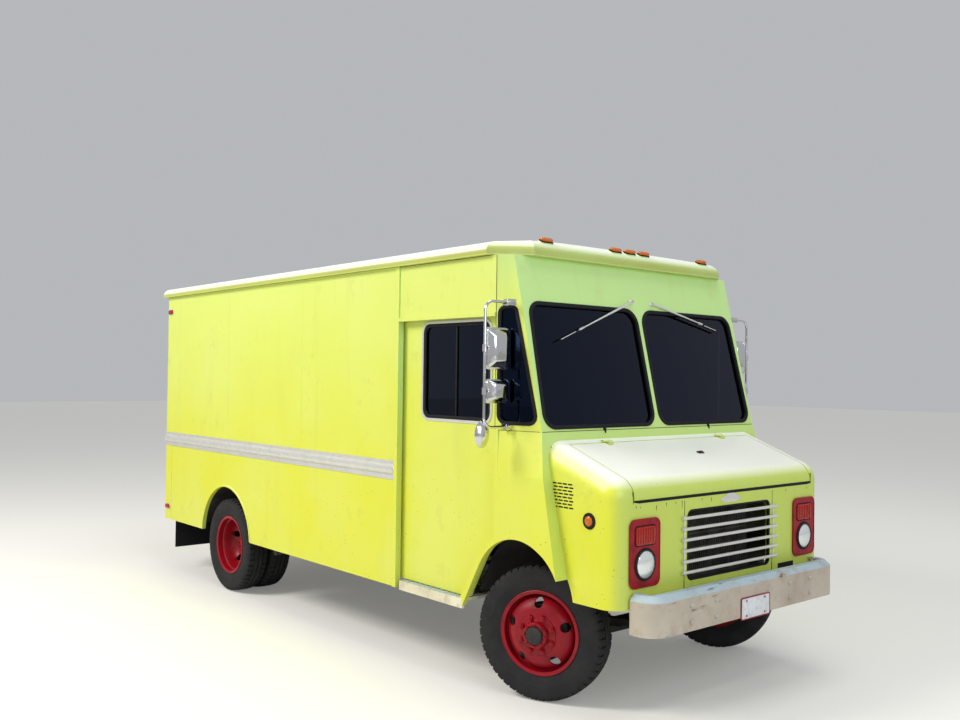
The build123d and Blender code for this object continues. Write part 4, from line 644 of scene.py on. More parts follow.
rim_outline = [
    (-89, 262), (-87, 266), (-83, 265), (-79, 252), (-32, 249), (-27, 238), (27, 238), (32, 249), (79, 252),
    (83, 265), (87, 266), (89, 262), (87, 257), (83, 243), (42, 241), (34, 231), (26, 230.5), (42, 227.5),
    (60, 220.5), (77, 210), (92, 196), (103, 180), (111, 162), (115, 148), (116, 138), (116, 64), (107, 64),
    (107, 138), (105, 147), (101, 158), (94, 174), (84, 189), (70, 202), (54, 212), (36, 219), (14, 223),
    (-20, 228), (-30, 231), (-37, 241), (-83, 243), (-87, 257),
]
wheel_segments = 96
hand_holes = 5
hand_hole_circle = 0.19
hand_hole_radius = 0.03


def rod(vertices, radius, depth, location):
    """A cylinder along the X axis, in metres."""
    bpy.ops.object.select_all(action="DESELECT")
    bpy.ops.mesh.primitive_cylinder_add(vertices=vertices, radius=radius, depth=depth, location=location,
                                        rotation=(0, pi / 2, 0))
    return bpy.context.object


def rim_shape():
    """A pressed steel rim with a bulging disc and its hand holes, round the X axis."""
    piece = turned(rim_outline, wheel_segments, Matrix.Identity(4))
    turns = [2 * pi * hole / hand_holes for hole in range(hand_holes)]
    middles = [(0.08, hand_hole_circle * sin(turn), hand_hole_circle * cos(turn)) for turn in turns]
    cutter = joined([rod(32, hand_hole_radius, 0.2, middle) for middle in middles])
    applied(piece, "BOOLEAN", operation="DIFFERENCE", solver="EXACT", object=cutter)
    bpy.data.objects.remove(cutter)
    return piece


def nut_shape(across_flats, height):
    """A chamfered hexagon nut with its stud's end, its axis along X."""
    ends = []
    nut = (6, 0.577, height, 0, 0.06)
    stud = (12, 0.27, height * 0.7, height * 0.55, 0.05)
    for vertices, radius, depth, out, chamfer in (nut, stud):
        end = rod(vertices, across_flats * radius, depth, (out, 0, 0))
        placing_applied()
        applied(end, "BEVEL", width=across_flats * chamfer, segments=1, limit_method="ANGLE")
        ends.append(end)
    return joined(ends)


def ring_of(shape, count, circle, out, place, start_turn=0.0):
    """Copies of a small shape set round the axle of a wheel."""
    turns = [Matrix.Rotation(start_turn + 2 * pi * index / count, 4, "X") for index in range(count)]
    return [copied(shape, place @ turn @ Matrix.Translation((out, 0, circle))) for turn in turns]


front_hub_outline = [(60, 20), (60, 96), (116.5, 128), (121, 126), (124, 118), (124, 92), (128, 86),
                     (150, 82), (158, 78), (160, 74), (160, 62), (154, 60), (150, 20)]
front_cap_outline = [(140, 0), (140, 56), (166, 55), (174, 52), (178, 46), (178, 0)]
rear_hub_outline = [(-250, 36), (-250, 80), (-30, 100), (-6, 128), (-1, 128), (2, 122), (2, 90), (20, 84),
                    (48, 82), (56, 78), (58, 72), (58, 36)]
rear_flange_outline = [(50, 0), (50, 66), (70, 64), (74, 60), (74, 30), (78, 26), (78, 0)]
nuts = 8
nut_circle = 0.111

tyre_model = tyre_shape()
rim_model = rim_shape()
lug_nut = nut_shape(0.033, 0.024)
hub_bolt = nut_shape(0.016, 0.009)


def at_wheel(hand, steered, out):
    """Moves a shape round the X axis to a wheel, out in millimetres along its axle."""
    turn = 0 if hand > 0 else pi
    if steered:
        middle = Matrix.Translation((hand * kingpin_x, front_axle_y, axle_z))
        turn += steer_at_rest
    else:
        middle = Matrix.Translation((0, arch_y + rear_axle_back / 1000, axle_z))
    return middle @ Matrix.Rotation(turn, 4, "Z") @ moved(out, 0)


turned_in = Matrix.Rotation(pi, 4, "Z")
for side_name, hand in sides.items():
    body = f"front_{side_name}_wheel"
    place = at_wheel(hand, True, front_middle)
    tyre = settled([copied(tyre_model, place)], f"front_{side_name}_truck_tyre", tread_rubber, body)
    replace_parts(tyre, f"front_{side_name}_tyre")
    disc = settled([copied(rim_model, place)], f"front_{side_name}_rim", red, body)
    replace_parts(disc, f"front_{side_name}_wheel")
    settled([turned(front_hub_outline, 64, place)]
            + ring_of(lug_nut, nuts, nut_circle, 0.128, place, pi / nuts)
            + ring_of(hub_bolt, nuts, 0.068, 0.163, place), f"front_{side_name}_hub", red, body)
    settled([turned(front_cap_outline, 48, place)], f"front_{side_name}_grease_cap", black, body)

    body = f"rear_{side_name}_wheels"
    inner, outer = (at_wheel(hand, False, middle) for middle in rear_middles)
    tyres = settled([copied(tyre_model, inner), copied(tyre_model, outer)], f"rear_{side_name}_truck_tyres",
                    tread_rubber, body)
    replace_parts(tyres, f"rear_{side_name}_tyres")
    discs = settled([copied(rim_model, inner), copied(rim_model, outer @ turned_in)],
                    f"rear_{side_name}_rims", red, body)
    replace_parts(discs, f"rear_{side_name}_wheels")
    face = at_wheel(hand, False, hub_out)
    settled([turned(rear_hub_outline, 64, face), turned(rear_flange_outline, 48, face)]
            + ring_of(lug_nut, nuts, nut_circle, 0.024, face, pi / nuts)
            + ring_of(hub_bolt, nuts, 0.05, 0.078, face), f"rear_{side_name}_hub", red, body)
for model in (tyre_model, rim_model, lug_nut, hub_bolt):
    bpy.data.objects.remove(model)

# Cab and nose, in millimetres as the part has them

belt_z = 1690
drip_z = 2805
rake_slope = 0.24
rake_angle = atan(rake_slope)
seam_back = 207
crease_x = 1118
nose_half_width = 1095
nose_front_back = -722
body_back = 5415
side_panel_back = 1246
side_end_back = 5230
door_x = 1150


def rake_back(z):
    """Where the raked cab front stands at height z."""
    return -134 + rake_slope * (z - belt_z)


def up_rake(z):
    """Height z measured up the slope from the belt."""
    return (z - belt_z) / cos(rake_angle)


rake = placed((0, rake_back(belt_z), belt_z), (1, 0, 0), (0, sin(rake_angle), cos(rake_angle)))
facet_turn = atan((body_half_width - crease_x) / (seam_back - rake_back(2100)))
facet = placed((-body_half_width, seam_back, 0), (sin(facet_turn), -cos(facet_turn), 0), (0, 0, 1))
side_face = at_side(-body_half_width)
door_face = at_side(-door_x)
nose_face = at_front(nose_front_back)
bezel_face = at_front(nose_front_back - 10)
rear_face = at_rear(body_back)


def laid_on_facet(piece):
    """Moves a piece made on the facet's plane out or in, so that it follows the facet's twist."""
    back_to_plane = facet.inverted()
    out = facet.to_3x3() @ Vector((0, 0, 1))
    for vertex in piece.data.vertices:
        forward = (back_to_plane @ vertex.co).x * 1000
        reach = Vector((body_half_width - crease_x, rake_back(vertex.co.z * 1000) - seam_back, 0))
        across = reach.x * sin(facet_turn) - reach.y * cos(facet_turn)
        outwards = -reach.x * cos(facet_turn) - reach.y * sin(facet_turn)
        vertex.co += out * outwards * forward / across / 1000
    normals_out(piece)
    return piece


# Windows: rubber round the fixed panes, a bright frame round each door's window
pane_low = up_rake(1700)
pane_high = up_rake(2511)
gaskets = []
for hand in hands:
    pane = [(hand * 20, pane_low), (hand * 1094, pane_low), (hand * 1069, pane_high), (hand * 20, pane_high)]
    gaskets.append(ring(pane, [100, 100, 100, 118], 26, -14.5, 7, rake, 4, 8))
settled(gaskets, "windscreen_gaskets", rubber)
quarter = [(12, 1722), (330, 1722), (139, 2479), (12, 2479)]
quarter_gasket = laid_on_facet(ring(quarter, [70, 62, 50, 52], 23, -17, 6, facet, 4, 8))
settled(pair([quarter_gasket]), "quarter_window_gaskets", rubber)

pull_x = -door_x + 32
for side_name, hand in sides.items():
    fittings = [
        ("window_frame", bright, [hoop(290, 1044, 1713, 2404, 80, 19, -3, 6, door_face, 2),
                                  block(322, 1012, 1742, 1752, 0, -13, 0, door_face, 2)]),
        ("window_seal", rubber, [hoop(307, 1027, 1730, 2387, 68, 26, -11, 3, door_face, 2),
                                 block(661, 675, 1742, 2375, 0, -13, -3, door_face, 2)]),
        ("inner_pull", chromed, [tube([(pull_x, 1120, 1500), (pull_x + 30, 1120, 1500),
                                       (pull_x + 30, 1120, 1330), (pull_x, 1120, 1330)], 8, 14)]),
    ]
    for label, finish, pieces in fittings:
        piece = joined(pieces)
        settled([flipped(piece) if hand > 0 else piece], f"{side_name}_{label}", finish, f"{side_name}_door")

# Wipers, hung from over the windscreens: foot, tip and the blade's heel as a share of the arm
wiper_arms = []
wiper_blades = []
for foot, tip, heel in (((-68, up_rake(2556)), (-845, up_rake(2262)), 0.52),
                        ((150, up_rake(2552)), (862, up_rake(2388)), 0.46)):
    run = Vector((tip[0] - foot[0], tip[1] - foot[1]))
    length = run.length
    line = rake @ moved(*foot) @ Matrix.Rotation(atan2(run.y, run.x), 4, "Z")
    wiper_arms += [
        boss([(-2, 0), (-2, 17), (9, 16), (12, 12), (24, 11), (27, 7), (27, 0)], 0, 0, line),
        slab([(-14, -9), (70, -8), (length * 0.72, -3.5), (length * 0.72, 3.5), (70, 8), (-14, 9)], 2, 20, 27,
             line, 1.5),
        block(length * 0.70, length * 0.76, -6, 6, 2, 14, 30, line, 1.5),
    ]
    for near, far in ((heel, 0.66), (0.80, 0.99)):
        wiper_arms.append(block(length * near, length * far, -2.5, 2.5, 1, 17, 22, line, 1))
    wiper_blades += [block(length * (heel - 0.04), length * 1.01, -3.5, 3.5, 1, 9, 17, line, 1.5),
                     block(length * (heel - 0.05), length * 1.02, -1, 1, 0, 0.5, 9.5, line)]
settled(wiper_arms, "wiper_arms", bright)
settled(wiper_blades, "wiper_blades", rubber)

# Belt seam with its two clips, and the seams of the header and the cab corners
clips = []
for x in (-548, 564):
    clips += [block(x - 13, x + 13, up_rake(1683), up_rake(1706), 4, -1, 4, rake, 1),
              block(x - 4, x + 4, up_rake(1668), up_rake(1690), 2, 3, 9, rake, 1)]
settled(clips, "belt_clips", dark)
belt_seam = block(-crease_x + 4, crease_x - 4, up_rake(1685.5), up_rake(1689), 0, -1, 0.8, rake)
settled([belt_seam] + pair([
    laid_on_facet(block(2, 340, 1686, 1689, 0, -1, 0.9, facet)),
    block(seam_back - 1.5, seam_back + 1.5, 1692, 2800, 0, -1, 0.9, side_face),
    block(seam_back + 4, side_panel_back, 2798, 2801, 0, -1, 0.9, at_side(-body_half_width - 12)),
]), "body_seams", dark)

# Nose front: lamps, turn lamps and the edges round them
lamp_x = 853
lamp_z = 945
turn_z = 1112
lenses = []
rings = []
lamp_seals = []
turn_lenses = []
bezel_edges = []
for x in (-lamp_x, lamp_x):
    lenses.append(boss([(-28, 0), (-28, 80), (6, 80), (13, 66), (19, 44), (22, 20), (22.5, 0)], x, lamp_z,
                       bezel_face, 48))
    rings.append(boss([(-2, 79), (-2, 88), (8, 87), (12, 84), (12, 81), (8, 79)], x, lamp_z, bezel_face, 48))
    lamp_seals += [boss([(-6, 87), (-6, 97), (3, 96), (4, 93), (3, 88)], x, lamp_z, bezel_face, 48),
                   rim(x, turn_z, 94, 61, 22, 7, -6, 3, bezel_face, 1.5)]
    turn_lenses.append(tile(x, turn_z, 87, 54, 18, -30, 8, bezel_face, 5))
    turn_lenses += [tile(x + rib * 22, turn_z, 4, 46, 3, 7, 10.5, bezel_face, 1) for rib in range(-3, 4)]
    bezel_edges.append(hoop(x - 137, x + 137, 811, 1212, 46, 10, -6, 3, bezel_face, 3))
    bezel_edges += [boss([(-1, 0), (-1, 7), (2, 6), (3, 3), (3, 0)], x + out, z, bezel_face, 12)
                    for z in (832, 1190) for out in (-112, 112)]
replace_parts(settled(lenses, "headlamp_lenses", headlamp), "headlamps")
# Painted shade: the rings round the headlamp lenses are black, standing in for the shade in the lamps'
# recesses.
settled(rings, "headlamp_rings", black)
settled(lamp_seals, "lamp_seals", rubber)
settled(bezel_edges, "bezel_edges", red)
settled(turn_lenses, "turn_lenses", turn_red)

# Nose front: a dark strip of painted shade in the gap under the hood lip, apron seams with their rivets,
# badge place, grille edge and rust
# Painted shade: dark rubber strips stand for the shaded gap under the hood lip and at its ends.
lip = [slab([(-946, 1308), (-900, 1300), (905, 1298), (950, 1303), (950, 1318), (-946, 1318)], 3, -20, 2,
            nose_face, 1)]
lip += [block(x - 2, x + 2, 1300, 1372, 1, -3, 1, nose_face) for x in (-952, 953)]
settled(lip, "hood_lip_gap_shade", rubber)
apron = [block(x - half, x + half, low, high, 0, -1, proud, nose_face)
         for half, low, high, proud in ((3.5, 738, 800, 0.8), (2, 800, 1285, 0.6)) for x in (-474, 474)]
apron += [block(-474, 474, 736, 740, 0, -1, 0.8, nose_face), block(545, 735, 724, 786, 4, -1, 1.2, nose_face)]
settled(apron, "apron_seams", dark)
settled([rivet_row((-900, 1292), (900, 1290), 17, nose_face, 0, 4.5, 1.6),
         rivet_row((-440, 752), (440, 752), 9, nose_face, 0, 5, 2)], "nose_rivets", lime)
settled([block(x - 62, x + 62, 746, 763, 0, -1, 1, nose_face) for x in (-398, 398)], "apron_patches", lime)
runs = ((-925, 1288, 16), (-886, 1280, 9), (-742, 1276, 30), (-648, 1286, 22), (-560, 1284, 12),
        (-498, 1286, 46), (-300, 1288, 14), (-205, 1284, 26), (640, 1284, 20), (905, 1282, 16))
settled([slab([(x - 3, z), (x - 1.5, z - length), (x + 1, z - length), (x + 3.5, z)], 0.8, -0.5, 0.5,
              nose_face) for x, z, length in runs], "rust_streaks", rust)
badge = [slab([(-118, 1262), (-60, 1243), (60, 1243), (118, 1262), (70, 1282), (28, 1300), (-28, 1300),
               (-70, 1282)], 6, -0.5, 4, nose_face, 1.5)]
badge += [boss([(3, 0), (3, 5), (5.5, 3.5), (6.5, 0)], x, 1262, nose_face, 12) for x in (-86, 86)]
settled(badge, "blank_badge", bright)
spacer_zs = (1190, 1115, 1049, 983, 917, 850)
settled([tile(x, z - 9, 11, 7, 2, 1, 12, nose_face, 1) for z in spacer_zs for x in (-478, 478)],
        "grille_spacers", bright)
settled([hoop(-447, 447, 793, 1227, 44, 12, -18, 1.5, nose_face, 1)], "grille_opening_edge", rubber)

# Nose flanks: louvre with slots of painted shade, marker lamp and rivets
flank = at_side(-nose_half_width)
louvre_top = 1392
louvre_pitch = 20
# Painted shade: dark plates stand for the shaded openings of the louvre.
slots = []
for row in range(8):
    z = louvre_top - row * louvre_pitch
    for column in range(4):
        left = -374 + column * 44 - (12 if row % 2 else 0)
        slots.append(block(max(left, -384), min(left + 36, -212), z - 9, z, 2, -1, 0.8, flank))
settled(pair(slots), "louvre_shade_slots", dark)
marker_seal = boss([(-1, 30), (-1, 49), (5, 48), (9, 43), (9, 34), (7, 30)], -514, 1190, flank, 32)
settled(pair([marker_seal]), "marker_seals", rubber)
marker_lens = boss([(2, 0), (2, 31), (9, 30), (15, 24), (19, 13), (20, 0)], -514, 1190, flank, 32)
settled(pair([rivet_row((-602, 1262), (-330, 1450), 9, flank, 0, 4.5, 1.8),
              rivet_row((-600, 1288), (-230, 1288), 1, flank, 0, 4.5, 1.8)]), "flank_rivets", lime)

# Roof marker lamps: amber domes on dark feet, along the roof's curved front
visor_depth = 200
visor_foot_z = drip_z + 25
visor_rise = 110
roof_front_back = 85
lamp_in = 60
lamp_run = (visor_depth - lamp_in) / visor_depth
lamp_drop = sqrt(1 - lamp_run ** 2)
lamp_slope = visor_rise / visor_depth * lamp_run / lamp_drop
lamp_seat_z = visor_foot_z + visor_rise * lamp_drop
seats = [placed((x, roof_front_back + lamp_in, lamp_seat_z), (1, 0, 0), (0, 1, lamp_slope))
         for x in (-830, -150, 0, 150, 830)]
settled([tile(0, 0, 58, 25, 22, 2, 10, seat, 2) for seat in seats], "roof_lamp_feet", rubber)
domes = [tile(0, 0, 52, 20, 19, 9, 30, seat, 9) for seat in seats]
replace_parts(settled(domes + pair([marker_lens]), "amber_lenses", amber), "amber_lamps")

# Mirrors: chromed heads on a bent tube, two square and one round to each side
mirror_back = 100
tube_x = -1385
head_x = -1275
head_half = 95
round_z = 1668
mirror_front = at_front(mirror_back)
mirror_rear = at_rear(mirror_back)
heads = []
glasses = []
tubes = [tube([(-1150, mirror_back, 2492), (tube_x, mirror_back, 2492), (tube_x, mirror_back, 1712),
               (-1160, mirror_back, 1712)], 9, 60, sides=6)]
for z, half in ((2200, 131), (1935, 75)):
    heads += [tile(head_x, z, head_half - inset, half - inset, radius, low, high, mirror_front, 3)
              for low, high, inset, radius in ((-22, -10, 0, 26), (-10, 4, 4, 24))]
    shell = tile(head_x, z, head_half - 5, half - 5, 22, -2, 34, mirror_front)
    choose(shell, lambda centre, normal: normal.y < -0.9)
    bpy.ops.transform.resize(value=(0.5, 1, 0.62), center_override=(head_x / 1000, 0, z / 1000))
    bpy.ops.object.mode_set(mode="OBJECT")
    applied(shell, "BEVEL", width=0.008, segments=3, limit_method="ANGLE", angle_limit=radians(25))
    heads.append(shell)
    glasses.append(tile(head_x, z, head_half - 9, half - 9, 20, 21, 23.5, mirror_rear))
    tubes += [tube([(tube_x, mirror_back, z - 22), (tube_x, mirror_back, z + 22)], 15, sides=6),
              block(tube_x - 4, head_x - head_half + 30, z - 9, z + 9, 3, -20, -9, mirror_front, 2)]
    tubes += [boss([(-24, 0), (-24, 6), (16, 6), (18, 4), (18, 0)], tube_x + 20, z + lift, mirror_front, 6)
              for lift in (-5.2, 5.2)]
convex = boss([(-24, 0), (-24, 76), (-20, 80), (-14, 80), (-4, 66), (6, 40), (9, 0)], 0, 0,
              Matrix.Identity(4), 36)
convex.data.transform(mirror_front @ moved(tube_x, round_z) @ Matrix.Diagonal((0.72, 1.04, 1, 1)))
heads.append(convex)
glasses.append(boss([(24, 0), (24, 52), (27, 50), (31, 30), (32, 0)], tube_x, round_z, mirror_rear, 32))
for z in (1712, 2492):
    tubes += [block(-1222, -1150, z - 20, z + 20, 6, low, low + 6, mirror_front, 1) for low in (-26, 20)]
    tubes.append(boss([(-30, 0), (-30, 7), (30, 7), (33, 5), (33, 0)], -1207, z, mirror_front, 6))
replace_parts(settled(pair(heads), "mirror_heads", chromed), "mirrors")
settled(pair(tubes), "mirror_tubes", chromed)
settled(pair(glasses), "mirror_glasses", silvered)

# Bumper: bolts, a blank plate in its frame
bumper_face = at_front(-905)
settled([boss([(-1, 0), (-1, 15), (4, 15), (9, 11), (11, 5), (11, 0)], x, z, bumper_face, 20)
         for x in (-640, -400, 400, 640) for z in (610, 705)], "bumper_bolts", cream)
plate_x = 5
plate_z = 612
settled([tile(plate_x, plate_z, 152, 64, 14, 3, 5, bumper_face, 0.5),
         rim(plate_x, plate_z, 148, 60, 12, 5, 5, 6.4, bumper_face, 0.6)], "blank_plate", sheeting)
settled([rim(plate_x, plate_z, 157, 69, 14, 7, 0, 7, bumper_face, 1.5)]
        + [boss([(4, 0), (4, 7), (8, 6), (9, 4), (9, 0)], plate_x + x, plate_z + z, bumper_face, 6)
           for x in (-98, 98) for z in (-46, 46)], "plate_frame", red)

# Sides: rivets, drip rails, rub rail ends and rear arch lips
lower_face = at_side(-body_half_width + 2)
rivets = [
    rivet_row((1325, 2780), (side_end_back, 2780), 53, side_face),
    rivet_row((1325, 1440), (side_end_back, 1440), 53, side_face),
    rivet_row((1325, 545), (3440, 545), 29, lower_face),
    rivet_row((4540, 545), (side_end_back, 545), 10, lower_face),
    rivet_row((1270, 560), (1270, 2780), 31, at_side(-body_half_width - 10), 0, 5),
    rivet_row((230, 2432), (1230, 2432), 14, at_side(-body_half_width - 12), 0, 5),
    rivet_row((230, 2775), (1230, 2775), 14, side_face, 0, 5),
    rivet_row((5250, 620), (5250, 2780), 30, side_face, 0, 5),
]
rivets += [rivet_row((seam, 1480), (seam, 2750), 18, side_face, 0, 4.5, 1.8) for seam in (2620, 3960)]
settled(pair(rivets), "side_rivets", lime)
settled(pair([block(1240, body_back - 60, 2796, 2804, 2, -1, 16, side_face, 1.5),
              block(1240, body_back - 60, 2796, 2799, 1, 14, 19, side_face, 1)]), "drip_rails", lime)
rail_face = at_side(-1198)
bead_end = boss([(0, 0), (0, 38), (8, 36), (16, 28), (21, 15), (23, 0)], 0, 0, Matrix.Identity(4), 32)
bead_end.data.transform(rail_face @ moved(1297, 1348) @ Matrix.Diagonal((0.34, 1, 1, 1)))
settled(pair([block(1283, 1297, 1277, 1407, 5, 0, 8, rail_face, 2)]
             + [rivet_row((1310, z), (5340, z), 42, rail_face, 4, 5, 2) for z in (1400, 1290)]
             + [bead_end]), "rub_rail_ends", bright)

lip_z = 476
lip_radius = 489
lip_width = 16
skirt_sweep = atan2(520 - lip_z, sqrt(491 ** 2 - 44 ** 2))
turns = [skirt_sweep + (pi - 2 * skirt_sweep) * index / 40 for index in range(41)]
inner, outer = ([Vector(((rear_axle_back + radius * cos(turn)) / 1000,
                         (lip_z + radius * sin(turn)) / 1000, 0)) for turn in turns]
                for radius in (lip_radius, lip_radius + lip_width))
arch = drawn(inner + outer[::-1] + inner[:1])
opened()
bpy.ops.mesh.edge_face_add()
bpy.ops.object.mode_set(mode="OBJECT")
settled(pair([thickened(arch, -18, 5, rail_face, 1.5)]), "rear_arch_lips", lime)

# Rear: lamps in bezels and the step's tread
lamp_rims = []
red_domes = []
for x in (-960, 960):
    for z in (980, 1120):
        lamp_rims.append(boss([(-1, 51), (-1, 62), (8, 61), (12, 57), (12, 52), (8, 50)], x, z,
                              rear_face, 32))
        red_domes.append(boss([(0, 0), (0, 52), (18, 51), (26, 40), (30, 20), (31, 0)], x, z, rear_face, 32))
for x in (-1050, -150, 0, 150, 1050):
    lamp_rims.append(rim(x, drip_z - 85, 61, 23, 20, 7, -1, 8, rear_face, 1.5))
    red_domes.append(tile(x, drip_z - 85, 54, 16, 15, -1, 20, rear_face, 6))
for z in (2650, 645):
    for hand in hands:
        foot = rim(5300, z, 56, 26, 22, 7, -1, 8, side_face, 1.5)
        dome = tile(5300, z, 50, 20, 17, -1, 17, side_face, 6)
        lamp_rims.append(flipped(foot) if hand > 0 else foot)
        red_domes.append(flipped(dome) if hand > 0 else dome)
settled(lamp_rims, "rear_lamp_rims", chromed)
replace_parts(settled(red_domes, "red_lenses", red_lens), "rear_lamps")
settled([block(-1060, 1060, 5440 + row * 22, 5446 + row * 22, 2, 0, 2.5, level(566), 0.8)
         for row in range(5)], "rear_step_tread", cream)

# Rear doors: window gaskets, edge seals, a lock rod with its handle, grab handle and hinge screws
rear_hinge_x = 708
rear_hinge_zs = (820, 1480, 2150)
rod_guides = (690, 1040, 1460, 1780, 2280)


def grip(x, low, high, out, radius, rounding):
    """A bent grab handle on the rear, between two heights."""
    out_back = body_back + out
    return tube([(x, body_back, high), (x, out_back, high), (x, out_back, low), (x, body_back, low)],
                radius, rounding)


for side_name, hand in sides.items():
    body = f"{side_name}_rear_door"
    left = hand * 350 - 208
    seals = [hoop(left, left + 416, 1672, 2128, 56, 24, low, high, rear_face, bevel)
             for low, high, bevel in ((-10, 6, 3), (-46, -38, 2))]
    seals += [block(*sorted((hand * near, hand * far)), bottom, top, 2, low, 1.5, rear_face, 1)
              for near, far, bottom, top, low in ((5, 15, 630, 2340, -36), (30, 690, 627, 641, -3))]
    settled(seals, f"{side_name}_rear_door_seals", rubber, body)
    screw_xs = [hand * (rear_hinge_x - 26 - step) for step in (0, 24)]
    ironwork = [rivet_row((x, z - 8), (x, z + 8), 2, rear_face, 3, 4.5, 2.4)
                for z in rear_hinge_zs for x in screw_xs]
    if hand > 0:
        ironwork.append(tube([(64, body_back + 24, 652), (64, body_back + 24, 2318)], 9))
        ironwork += [tile(64, z, 26, 26, 6, 0, 5, rear_face, 1.5) for z in rod_guides]
        ironwork += [rim(64, z, 16, 13, 6, 7, 4, 37, rear_face, 1.5) for z in rod_guides]
        ironwork += [
            slab([(52, 1225), (300, 1232), (318, 1250), (300, 1268), (52, 1275)], 8, 30, 42, rear_face, 3),
            tile(64, 1250, 20, 28, 10, 14, 34, rear_face, 3),
            tile(270, 1250, 20, 45, 10, 0, 6, rear_face, 1.5),
            boss([(0, 0), (0, 13), (26, 12), (32, 8), (32, 0)], 270, 1225, rear_face, 20),
            boss([(0, 0), (0, 14), (6, 13), (8, 10), (8, 0)], 150, 1160, rear_face, 20),
        ]
    else:
        ironwork.append(grip(-70, 1120, 1420, 42, 8, 18))
        ironwork += [tile(-70, z, 22, 22, 8, 0, 4, rear_face, 1) for z in (1120, 1420)]
    settled(ironwork, f"{side_name}_rear_door_ironwork", chromed, body)

rear_rivets = [rivet_row((hand * x, 700), (hand * x, 2700), 27, rear_face, 0, 5)
               for hand in hands for x in (770, 1120)]
rear_rivets += [rivet_row((-1080, z), (1080, z), 30, rear_face, 0, 5) for z in (2420, 2770)]
rear_rivets += [block(-748, 748, 2372, 2384, 3, -2, 20, rear_face, 2),
                block(-748, 748, 2368, 2373, 1, 15, 20, rear_face, 1)]
settled(rear_rivets, "rear_rivets_and_gutter", lime)
rear_grips = []
for hand in hands:
    rear_grips.append(grip(hand * 830, 1130, 1620, 48, 9, 20))
    rear_grips += [tile(hand * 830, z, 24, 24, 10, 0, 4, rear_face, 1) for z in (1130, 1620)]
rear_grips += [hoop(-996, -674, 742, 894, 14, 9, 3, 8, rear_face, 1.5),
               block(-872, -808, 900, 922, 8, 0, 34, rear_face, 4)]
settled(rear_grips, "rear_grab_handles", chromed)
settled([block(-992, -680, 746, 890, 10, 1, 4, rear_face, 0.5)], "rear_blank_plate", sheeting)
settled([block(hand * 640 - 45, hand * 640 + 45, 528, 560, 8, 0, 10, at_rear(5540), 3) for hand in hands],
        "rear_step_buffers", rubber)

# Cab: steering wheel, instruments, pedals, brake lever, cover latches and tread mats
steering_x = 620
steering_tilt = radians(35)
wheel_plane = placed((steering_x, 440, 1480), (1, 0, 0), (0, cos(steering_tilt), -sin(steering_tilt)))
rim_section = [(15 * sin(2 * pi * index / 12), 225 + 15 * cos(2 * pi * index / 12)) for index in range(12)]
steering = [boss(rim_section, 0, 0, wheel_plane, 64),
            boss([(-40, 0), (-40, 34), (-12, 42), (10, 46), (20, 40), (24, 24), (26, 0)], 0, 0,
                 wheel_plane, 32),
            boss([(-540, 0), (-540, 24), (-36, 24), (-36, 0)], 0, 0, wheel_plane, 24)]
steering += [slab([(30, -14), (214, -10), (214, 10), (30, 14)], 3, -6, 7,
                  wheel_plane @ Matrix.Rotation(radians(turn), 4, "Z"), 3) for turn in (90, 210, 330)]
steering += [tube([(steering_x - 20, 415, 1432), (steering_x - 150, 400, 1440)], 6, sides=3),
             tube([(steering_x + 20, 415, 1432), (steering_x + 140, 390, 1420)], 5, sides=3)]
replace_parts(settled(steering, "steering_wheel_and_column", plastic), "steering_wheel")

dash_face = placed((0, 203, 1525), (-1, 0, 0), (0, 0.07, 1))
cluster = [block(-790, -450, -55, 60, 18, 0, 16, dash_face, 5),
           block(-380, -60, -50, 50, 10, 0, 8, dash_face, 3),
           block(120, 480, -60, 55, 10, 0, 6, dash_face, 3)]
cluster += [boss([(2, 18), (2, 24), (14, 22), (22, 12), (22, 0), (2, 0)], x, -20, dash_face, 16)
            for x in (-420, -30, 30)]
cluster += [rim(x, 0, 60, 30, 14, 6, 0, 9, dash_face, 2) for x in (620, 850)]
settled(cluster, "instrument_panel", plastic)
dials = ((-690, 8, 42), (-570, 8, 42), (-500, 26, 20), (-500, -22, 20), (-755, -30, 14))  # x, height, radius
settled([boss([(15, radius - 5), (15, radius), (20, radius - 1), (20, radius - 4)], x, y, dash_face, 32)
         for x, y, radius in dials], "dial_rims", chromed)
settled([boss([(14, 0), (14, radius - 5), (17, radius - 6), (18, 0)], x, y, dash_face, 32)
         for x, y, radius in dials[:4]], "dial_faces", sheeting)

pedals = []
for x, half, back, height in ((520, 32, 60, 960), (640, 37, 60, 960), (760, 28, 20, 850)):
    pad = placed((x, back, height), (1, 0, 0), (0, -0.55, 1))
    pedals.append(tile(0, 0, half, 45, 8, 0, 10, pad, 2))
    pedals += [tile(0, z, half - 6, 3, 1, 10, 13, pad, 0.8) for z in (-30, -15, 0, 15, 30)]
    pedals.append(tube([(x, back - 10, height), (x, back - 150, height + 90), (x, -225, height + 260)],
                       8, 60, sides=3))
pedals += [tube([(372, 560, 792), (372, 560, 1180), (372, 500, 1290)], 9, 60),
           boss([(0, 0), (0, 15), (60, 17), (95, 14), (100, 0)], 0, 0,
                placed((372, 520, 1255), (1, 0, 0), (0, -0.88, -0.48)), 20)]
settled(pedals, "pedals_and_brake_lever", plastic)

